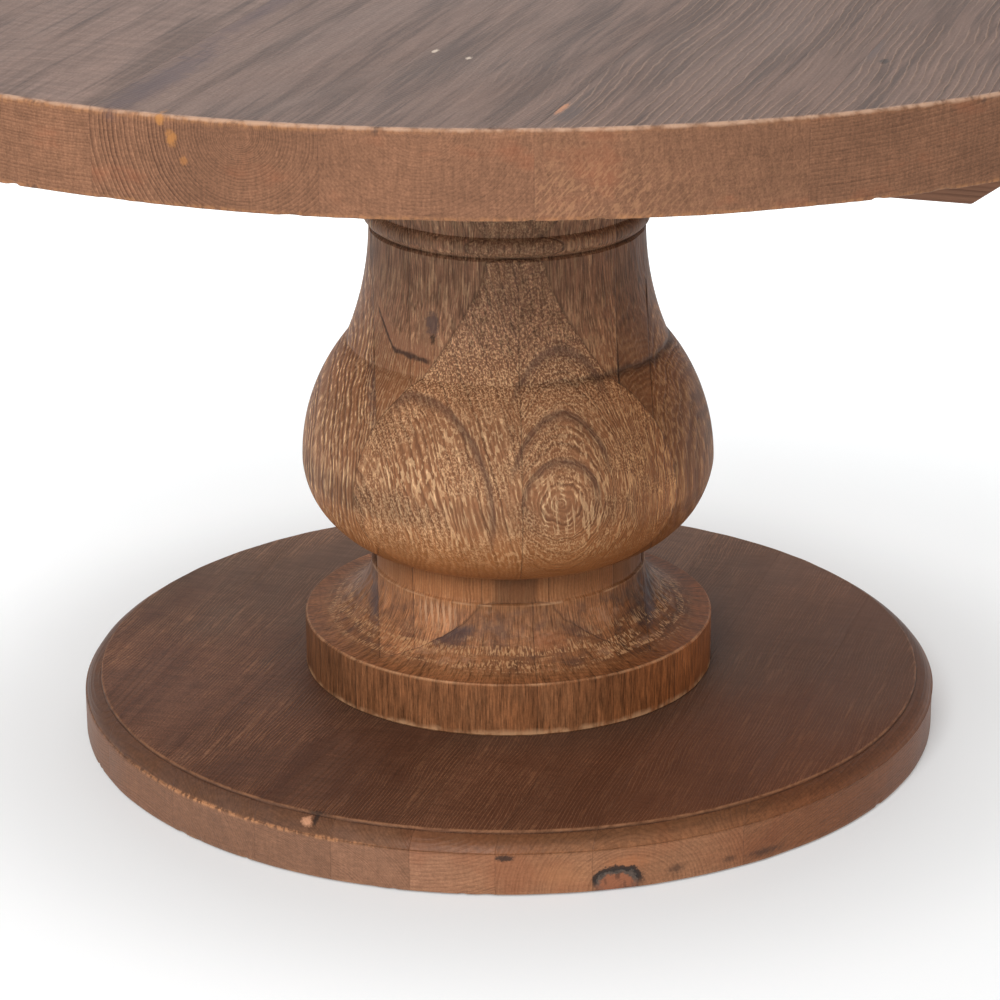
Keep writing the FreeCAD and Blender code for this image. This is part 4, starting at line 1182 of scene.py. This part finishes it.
# for each block: pith in the column's axes and the strengths of its figure
BLOCK_WOOD = {
    "belly_front_left": dict(pith=(-1.20, -0.30), rings=0.215, lines=0.90, strokes=0.45, specks=0.65,
                             slant=0.24, arches=("left", "right"), tone=1.16),
    "belly_front_right": dict(pith=(0.0, 0.0), rings=0.20, lines=0.85, strokes=0.45, specks=0.65,
                              slant=0.10, ovals=True, arches=("right",), tone=1.14),
    "belly_left": dict(pith=(-0.90, 0.10), rings=0.215, lines=1.0, strokes=0.30, tone=1.14,
                       spots=[((-0.126, -0.090, 0.350), (0.010, 0.06, 0.050), SIDE_SHADE, 0.55, 0.9)]),
    # painted shade: the low tone of this block darkens the column's right side
    "belly_right": dict(pith=(0.90, -0.20), rings=0.20, lines=0.60, strokes=0.40, tone=0.82,
                        spots=[((0.128, -0.080, 0.420), (0.010, 0.06, 0.060), SIDE_SHADE, 0.4, 0.9)]),
    "foot_front_left": dict(FOOT_WOOD, pith=(-0.06, -0.50),
                            spots=[((-0.064, -0.130, 0.131), (0.032, 0.020, 0.014), DARK_WEDGE, 0.75, 0.7)]),
    "foot_front_right": dict(FOOT_WOOD, pith=(0.10, -0.45),
                             spots=[((0.030, -0.150, 0.128), (0.040, 0.03, 0.012), srgb(150, 92, 62), 0.4,
                                     0.9)]),
    "foot_left": dict(FOOT_WOOD, pith=(-0.40, 0.03), tone=0.66,
                      spots=[((-0.128, -0.055, 0.140), (0.008, 0.05, 0.035), SIDE_SHADE, 0.7, 0.8)]),
    "foot_right": dict(FOOT_WOOD, pith=(0.40, -0.02), tone=0.84,
                       spots=[((0.130, -0.060, 0.140), (0.010, 0.05, 0.035), SIDE_SHADE, 0.75, 0.8)]),
    "capital_front": dict(pith=(0.02, -0.50), rings=0.12, lines=0.4, strokes=0.6, specks=0.5, tone=0.90),
}
DEFAULT_WOOD = dict(pith=(0.03, 0.50), rings=0.12, lines=0.5, strokes=0.6, tone=1.0)


def block_sides(seam):
    """Where each face block lies across the column: (x low, x high, y low, y high)."""
    sides = {
        "left": (None, -CORE_HALF, -CORE_HALF, CORE_HALF),
        "right": (CORE_HALF, None, -CORE_HALF, CORE_HALF),
    }
    for name, low, high in (("front", None, -CORE_HALF), ("back", CORE_HALF, None)):
        if seam is None:
            sides[name] = (None, None, low, high)
        else:
            sides[name + "_left"] = (None, seam, low, high)
            sides[name + "_right"] = (seam, None, low, high)
    return sides


def make_blocks():
    for kind, (low, high, seam) in BLOCK_KINDS.items():
        turning = column_turning(low, high, int(900 * FINE))
        for number, (side, box) in enumerate(block_sides(seam).items()):
            node = "%s_block_%s" % (kind, side)
            planes = [(0, place) for place in box[:2] if place is not None]
            planes += [(1, place) for place in box[2:] if place is not None]
            wood = BLOCK_WOOD.get("%s_%s" % (kind, side), DEFAULT_WOOD)
            material = column_material(node + "_wood", 40.0 + 2.7 * number + 10 * low, planes=planes, **wood)
            bm = cut_copy(turning, box_planes(*box))
            to_piece(bm, node + "_turned", node, material, COLUMN_YAW)
        turning.free()


# ---- battens and plate ---------------------------------------------------------------------------

def prism_piece(node, section, low, high, material):
    """A bar of one section in the XZ plane, from low to high along Y, with eased edges."""
    bm = bmesh.new()
    near = [bm.verts.new((x, low, z)) for x, z in section]
    far = [bm.verts.new((x, high, z)) for x, z in section]
    bm.faces.new(near)
    bm.faces.new(list(reversed(far)))
    for i in range(len(section)):
        following = (i + 1) % len(section)
        bm.faces.new((near[following], near[i], far[i], far[following]))
    bmesh.ops.recalc_face_normals(bm, faces=bm.faces)
    bmesh.ops.bevel(bm, geom=bm.edges[:], offset=SAWN_EASE, segments=3, profile=0.5, affect="EDGES")
    to_piece(bm, node + "_sawn", node, material)


BATTEN_BEVEL = 0.059
PLATE_CHAMFER = 0.012
SAWN_EASE = 0.0015


def make_underframe():
    """The two battens, bevelled to a narrow underside, and the column's head plate, chamfered below."""
    for index, node in enumerate(("batten_front", "batten_back")):
        low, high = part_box(node)
        section = [(low[0], high[2]), (low[0] + BATTEN_BEVEL, low[2]), (high[0] - BATTEN_BEVEL, low[2]),
                   (high[0], high[2])]
        material = batten_material(node + "_wood", 60.0 + index, 1.0)
        prism_piece(node, section, low[1], high[1], material)
    low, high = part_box("top_plate")
    section = [(low[0], high[2]), (low[0], low[2] + PLATE_CHAMFER), (low[0] + PLATE_CHAMFER, low[2]),
               (high[0] - PLATE_CHAMFER, low[2]), (high[0], low[2] + PLATE_CHAMFER), (high[0], high[2])]
    material = batten_material("plate_wood", 71.0, 0.95)
    prism_piece("top_plate", section, low[1], high[1], material)


def dress_fasteners():
    """Give the fasteners, dowels and glides, which keep their CAD shapes, their own materials."""
    zinc = metal_material("zinc_plate", srgb(190, 190, 186), srgb(132, 130, 124), 0.28)
    brass = metal_material("insert_brass", srgb(206, 172, 104), srgb(150, 116, 62), 0.30)
    special = {"threaded_inserts": brass, "floor_glides": nylon_material()}
    beech = dowel_material()
    for name, item in NODES.items():
        if item.hide_render:
            continue
        material = beech if "dowel" in name else special.get(name, zinc)
        item.data.materials.clear()
        item.data.materials.append(material)


# ---- stage, light and camera ---------------------------------------------------------------------

def make_stage():
    """A plain pale floor, clear from below, which glows faintly so that shadows on it stay light."""
    bpy.ops.mesh.primitive_grid_add(x_subdivisions=8, y_subdivisions=8, size=40)
    floor = bpy.context.object
    floor.name = "studio_floor"
    material, g, shader = new_material("pale_floor")
    cloud = g.noise(object_point(g), 0.6, detail=2)
    g.put(shader.inputs["Base Color"], g.mix(cloud, (0.60, 0.625, 0.637), (0.63, 0.655, 0.667)))
    shader.inputs["Roughness"].default_value = 0.7
    shader.inputs["Specular IOR Level"].default_value = 0.0
    shader.inputs["Emission Color"].default_value = (1.0, 1.0, 1.0, 1.0)
    reach = g.length(object_point(g))
    # the glow is weaker near the table, which paints a soft shadow on the floor round the base
    glow = g.step(reach, 0.42, 0.66, 0.24, 0.40) + g.step(reach, 0.66, 1.9, 0.0, 0.24)
    g.put(shader.inputs["Emission Strength"], glow)
    below = g.node("ShaderNodeNewGeometry").outputs["Backfacing"]
    clear = g.node("ShaderNodeBsdfTransparent").outputs[0]
    mixed = g.node("ShaderNodeMixShader", {0: below, 1: shader.outputs[0], 2: clear}).outputs[0]
    g.put(material.node_tree.nodes["Material Output"].inputs["Surface"], mixed)
    floor.data.materials.append(material)


def add_light(name, place, target, size, power):
    data = bpy.data.lights.new(name, "AREA")
    data.shape = "DISK"
    data.size = size
    data.energy = power
    lamp = bpy.data.objects.new(name, data)
    lamp.location = place
    lamp.rotation_mode = "QUATERNION"
    lamp.rotation_quaternion = (Vector(target) - Vector(place)).to_track_quat("-Z", "Y")
    bpy.context.scene.collection.objects.link(lamp)


CAMERA_AZIMUTH = math.radians(17.5)
CAMERA_BACK = 3.148
CAMERA_HEIGHT = 1.3901
CAMERA_PITCH = 0.3577
CAMERA_YAW = -0.0024
CAMERA_ROLL = -0.0044
FOCAL_PER_WIDTH = 3.5552


def around(azimuth, back, height):
    """A place round the table: azimuth 0 is in front, at -Y, and 90 degrees is at +X."""
    return Vector((math.sin(azimuth) * back, -math.cos(azimuth) * back, height))


def make_lights():
    world = bpy.data.worlds.new("studio")
    world.use_nodes = True
    background = world.node_tree.nodes["Background"]
    background.inputs[0].default_value = (1.0, 1.0, 1.0, 1.0)
    background.inputs[1].default_value = 0.50
    bpy.context.scene.world = world
    add_light("key_softbox", around(math.radians(4), 3.4, 2.7), (0, 0, 0.35), 1.7, 124)
    add_light("overhead_softbox", (-0.5, -0.2, 3.6), (-0.2, 0, 0), 2.6, 20)
    add_light("rear_softbox", (-0.6, 2.6, 2.4), (-0.4, 2.8, 0), 3.0, 70)


def make_camera():
    """A long lens from the right of the front, tilted down at the base."""
    data = bpy.data.cameras.new("camera")
    data.sensor_width = 36.0
    data.lens = 36.0 * FOCAL_PER_WIDTH
    data.clip_end = 200
    camera = bpy.data.objects.new("camera", data)
    heading = CAMERA_AZIMUTH - CAMERA_YAW
    turn = Matrix.Rotation(heading, 4, "Z") @ Matrix.Rotation(math.pi / 2 - CAMERA_PITCH, 4, "X")
    turn = turn @ Matrix.Rotation(CAMERA_ROLL, 4, "Z")
    camera.matrix_world = Matrix.Translation(around(CAMERA_AZIMUTH, CAMERA_BACK, CAMERA_HEIGHT)) @ turn
    bpy.context.scene.collection.objects.link(camera)
    bpy.context.scene.camera = camera


make_camera()
make_boards("top_plank", 9, TOP_RADIUS, top_turning(), top_plank_material)
make_boards("base_board", 9, BASE_RADIUS, base_turning(), base_board_material)
make_core()
make_blocks()
make_underframe()
dress_fasteners()
make_stage()
make_lights()
bpy.context.scene.view_settings.view_transform = "Standard"
